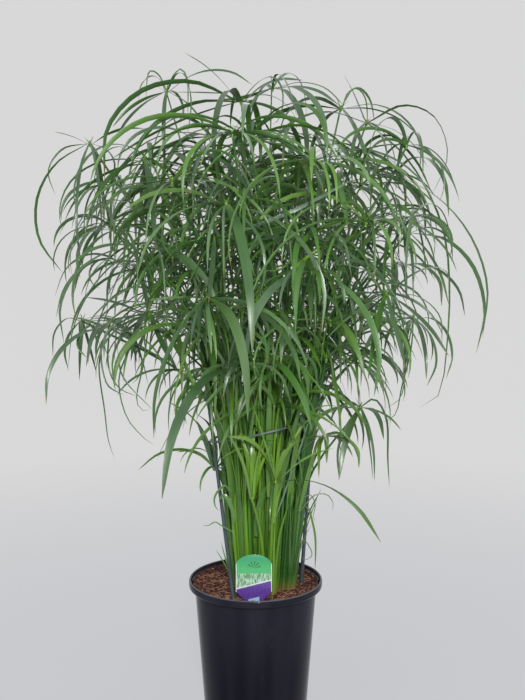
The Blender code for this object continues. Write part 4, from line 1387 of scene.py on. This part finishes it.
def labelFinish():
    mat, shade, shader = newFinish("printed_card", {"Specular IOR Level": 0.5,
                                                    "Coat Roughness": 0.12, "Coat Weight": 0.5})
    p = labelPlan
    x = placeOf(shade, "X") - p["middle"][0]
    z = placeOf(shade, "Z") - p["middle"][2]
    slope = z - x * p["slope"]
    sway = grains(shade, 40.0, (1, 0, 0)) * 0.006
    leafy = grains(shade, 420.0, (1, 0, 0.30), 2.0)
    up = z - p["fanAt"]
    fan = ((x.sign("ARCTAN2", x, up) * p["fanLeaves"]).wave().between(0.0, 0.4)
           * up.between(0.0004, 0.0010) * (1 - (x * x + up * up).between(*p["fanSize"])))
    meadow = leafy.between(0.38, 0.64).mix(*p["meadow"])
    sky = (fan * 0.75).mix(z.between(0.038, 0.060).mix(*p["sky"]), p["fan"])
    purple = leafy.between(0.2, 0.9).mix(*p["purple"])
    face = (z + sway).between(*p["skyFrom"]).mix(meadow, sky)
    face = slope.between(*p["purpleTo"]).mix(purple, face)
    stripe = 1 - ((slope - p["stripeAt"]) * 700).size().limit()
    face = stripe.mix(face, p["paper"])
    rim = (x * x / (p["rim"] * p["rim"])).between(0.97, 1.0)
    face = rim.mix(face, p["paper"])
    inTail = (1 - x.size().between(0.0080, 0.0084)) * (1 - slope.between(-0.0034, -0.0030))
    face = inTail.mix(face, p["tailBlue"])
    plug(mat, shader, Base_Color=face, Roughness=0.26 + leafy * 0.08)
    return mat


handOver(labelPiece(), "label_card", labelFinish(), "label_card", "plant_label")
print("label done")


# support: two stakes and the ring that they hold

supportPlan = {
    "leftFoot": (-0.0232, -0.0702, 0.120), "leftHead": (-0.0775, -0.0468, 0.540),
    "rightFoot": (0.0682, 0.0040, 0.120), "rightHead": (0.0926, 0.0000, 0.478),
    "stakeFoot": 0.0036, "stakeHead": 0.0024, "corners": 24, "joints": 7,
    # shares of a stake's length: its pointed foot, and where its head begins
    "point": 0.05, "headFrom": 0.985,
    # each moulded ring and the rounded head: rises, with what each makes of the width
    "jointRings": ((0.0008, 1.06), (0.0020, 1.0), (0.0008, 1 / 1.06)), "jointHeight": 0.0036,
    "headRings": ((0.006, 0.92), (0.006, 0.72), (0.003, 0.4)),
    "ring": 0.0865, "wire": 0.0021, "ringMiddle": (0.013, -0.003, 0.446),
    "ringTilt": (math.radians(-3.4), math.radians(-13.3), 0),
    "sleeve": 0.009, "sleeveThicker": 0.22, "stakeSharp": 40, "ringSharp": 45,
    "slate": (colour(36, 50, 56), colour(66, 84, 88)),
    "greyGreen": (colour(58, 76, 74), colour(104, 122, 112)),
}


def supportFinish(name, dark, pale):
    mat, shade, shader = newFinish(name, {"Specular IOR Level": 0.5, "Coat Roughness": 0.3,
                                          "Coat Weight": 0.15})
    streaks = grains(shade, 60.0, (1, 1, 0.2))
    fine = grains(shade, 700.0, detail=2.0)
    plug(mat, shader, Base_Color=streaks.between(0.3, 0.75).mix(dark, pale),
         Roughness=0.34 + streaks * 0.22, Normal=bump(shade, fine, 0.12, 0.0003))
    return mat


def stakePiece(foot, head):
    # a round stake with a pointed foot, moulded rings along it and a rounded head
    p = supportPlan
    foot, line = Vector(foot), Vector(head) - Vector(foot)
    level = line.length * p["point"]
    taper = (p["stakeHead"] / p["stakeFoot"]) ** (1 / p["joints"])
    stake = begin(bpy.ops.mesh.primitive_cylinder_add, vertices=p["corners"],
                  radius=p["stakeFoot"] * 0.94, depth=level, location=(0, 0, level / 2))
    pick(stake, "VERT", lambda c, n: c.z < 1e-6)
    stretch((0.3, 0.3, 1), (0, 0, 0))
    pick(stake, "FACE", lambda c, n: n.z > 0.9)
    rise = (line.length * p["headFrom"] - level) / p["joints"]
    steps = ((rise - p["jointHeight"], taper),) + p["jointRings"]
    for step, change in steps * p["joints"] + tuple((line.length * part, change)
                                                    for part, change in p["headRings"]):
        push((0, 0, step))
        level += step
        stretch((change, change, 1), (0, 0, level))
    bpy.ops.object.mode_set(mode="OBJECT")
    stake.matrix_world = (Matrix.Translation(foot)
                          @ line.to_track_quat("Z", "Y").to_matrix().to_4x4())
    settle(stake)
    faceOut(stake)
    soften(stake, p["stakeSharp"])
    return stake


def ringPiece():
    # a hoop with a short sleeve where its two ends meet
    hoop = begin(bpy.ops.mesh.primitive_torus_add, major_segments=120, minor_segments=12,
                 major_radius=supportPlan["ring"], minor_radius=supportPlan["wire"] * 0.92)
    pick(hoop, "FACE", lambda p, n: p.x > 0 and abs(p.y) < supportPlan["sleeve"])
    bpy.ops.mesh.extrude_region_shrink_fatten(TRANSFORM_OT_shrink_fatten={
        "value": supportPlan["wire"] * supportPlan["sleeveThicker"]})
    bpy.ops.object.mode_set(mode="OBJECT")
    hoop.location = supportPlan["ringMiddle"]
    hoop.rotation_euler = supportPlan["ringTilt"]
    settle(hoop)
    soften(hoop, supportPlan["ringSharp"])
    return hoop


slate = supportFinish("slate_plastic", *supportPlan["slate"])
for side in ("left", "right"):
    handOver(stakePiece(supportPlan[side + "Foot"], supportPlan[side + "Head"]), side + "_stake",
             slate, "support_plastic", "stake_" + side)
handOver(ringPiece(), "hoop", supportFinish("grey_green_plastic", *supportPlan["greyGreen"]),
         "support_plastic", "support_ring")
print("support done")


# studio: a pale floor that rises into a wall, soft lights and the camera

studio = {
    "outline": ((0.05, 0.0), (1.2, 0.0), (2.4, 0.0), (2.8, 0.02), (3.2, 0.14), (3.6, 0.42),
                (3.9, 0.85), (4.05, 1.4), (4.1, 2.2), (4.1, 3.4)),
    # the floor's glow is darker near the middle, a painted shade round the plant, and even further
    # out
    "paper": colour(78, 80, 84), "shadedGlow": colour(196, 197, 200), "farGlow": colour(219, 218, 217),
    "glow": 0.89, "glowEvenFrom": 2.6,
    "sky": (0.94, 0.97, 1.0, 1.0), "skyStrength": 0.15,
    # each soft light's place, size, power and tint
    "lights": {"key": ((0.10, -1.45, 0.95), 0.24, 17.0, (1.0, 0.98, 0.95)),
               "fill": ((-1.3, -1.1, 1.7), 1.6, 4.0, (0.92, 0.96, 1.0)),
               "back": ((0.9, 1.3, 1.8), 1.4, 5.0, (1.0, 1.0, 1.0))},
    "aim": (0.0, 0.0, 0.62),
    "cameraPlace": (0.011, -1.26, 0.640), "cameraTilt": math.radians(90 - 3.2),
    "lens": 41.14,
}


def studioBowl():
    radius, level = studio["outline"][0]
    bowl = begin(bpy.ops.mesh.primitive_circle_add, vertices=96, radius=radius,
                 fill_type="NGON", location=(0, 0, level))
    pick(bowl, "EDGE", lambda p, n: p.xy.length > radius * 0.9)
    drawOut(studio["outline"])
    bpy.ops.mesh.select_all(action="SELECT")
    bpy.ops.mesh.normals_make_consistent(inside=True)
    bpy.ops.object.mode_set(mode="OBJECT")
    bowl.data.shade_smooth()
    bowl.name = "studio_floor"
    mat, shade, shader = newFinish("studio_paper", {
        "Roughness": 0.95, "Specular IOR Level": 0.1, "Base Color": studio["paper"],
        "Emission Strength": studio["glow"]})
    # painted shade: the glow is darker near the middle of the floor
    away = shade.node("VectorMath", {"operation": "LENGTH"},
                      {0: shade.node("TexCoord", output="Object")}, "Value")
    plug(mat, shader, Emission_Color=away.between(0.0, studio["glowEvenFrom"]).mix(
        studio["shadedGlow"], studio["farGlow"]))
    bowl.data.materials.append(mat)


def softLight(name, place, size, power, tint):
    data = bpy.data.lights.new(name, "AREA")
    data.shape, data.size, data.energy, data.color = "DISK", size, power, tint
    lamp = hang(name, data)
    lamp.location = place
    lamp.rotation_euler = (Vector(studio["aim"]) - Vector(place)).to_track_quat(
        "-Z", "Y").to_euler()


def setCamera():
    data = bpy.data.cameras.new("view")
    data.lens, data.sensor_width, data.sensor_fit = studio["lens"], 36.0, "AUTO"
    camera = hang("view", data)
    camera.location = studio["cameraPlace"]
    camera.rotation_euler = (studio["cameraTilt"], 0, 0)
    scene.camera = camera


studioBowl()
for name, light in studio["lights"].items():
    softLight(name, *light)
world = bpy.data.worlds.new("soft_sky")
world.use_nodes = True
world.node_tree.nodes["Background"].inputs["Color"].default_value = studio["sky"]
world.node_tree.nodes["Background"].inputs["Strength"].default_value = studio["skyStrength"]
scene.world = world
scene.view_settings.view_transform = "Standard"
setCamera()
print("studio done")
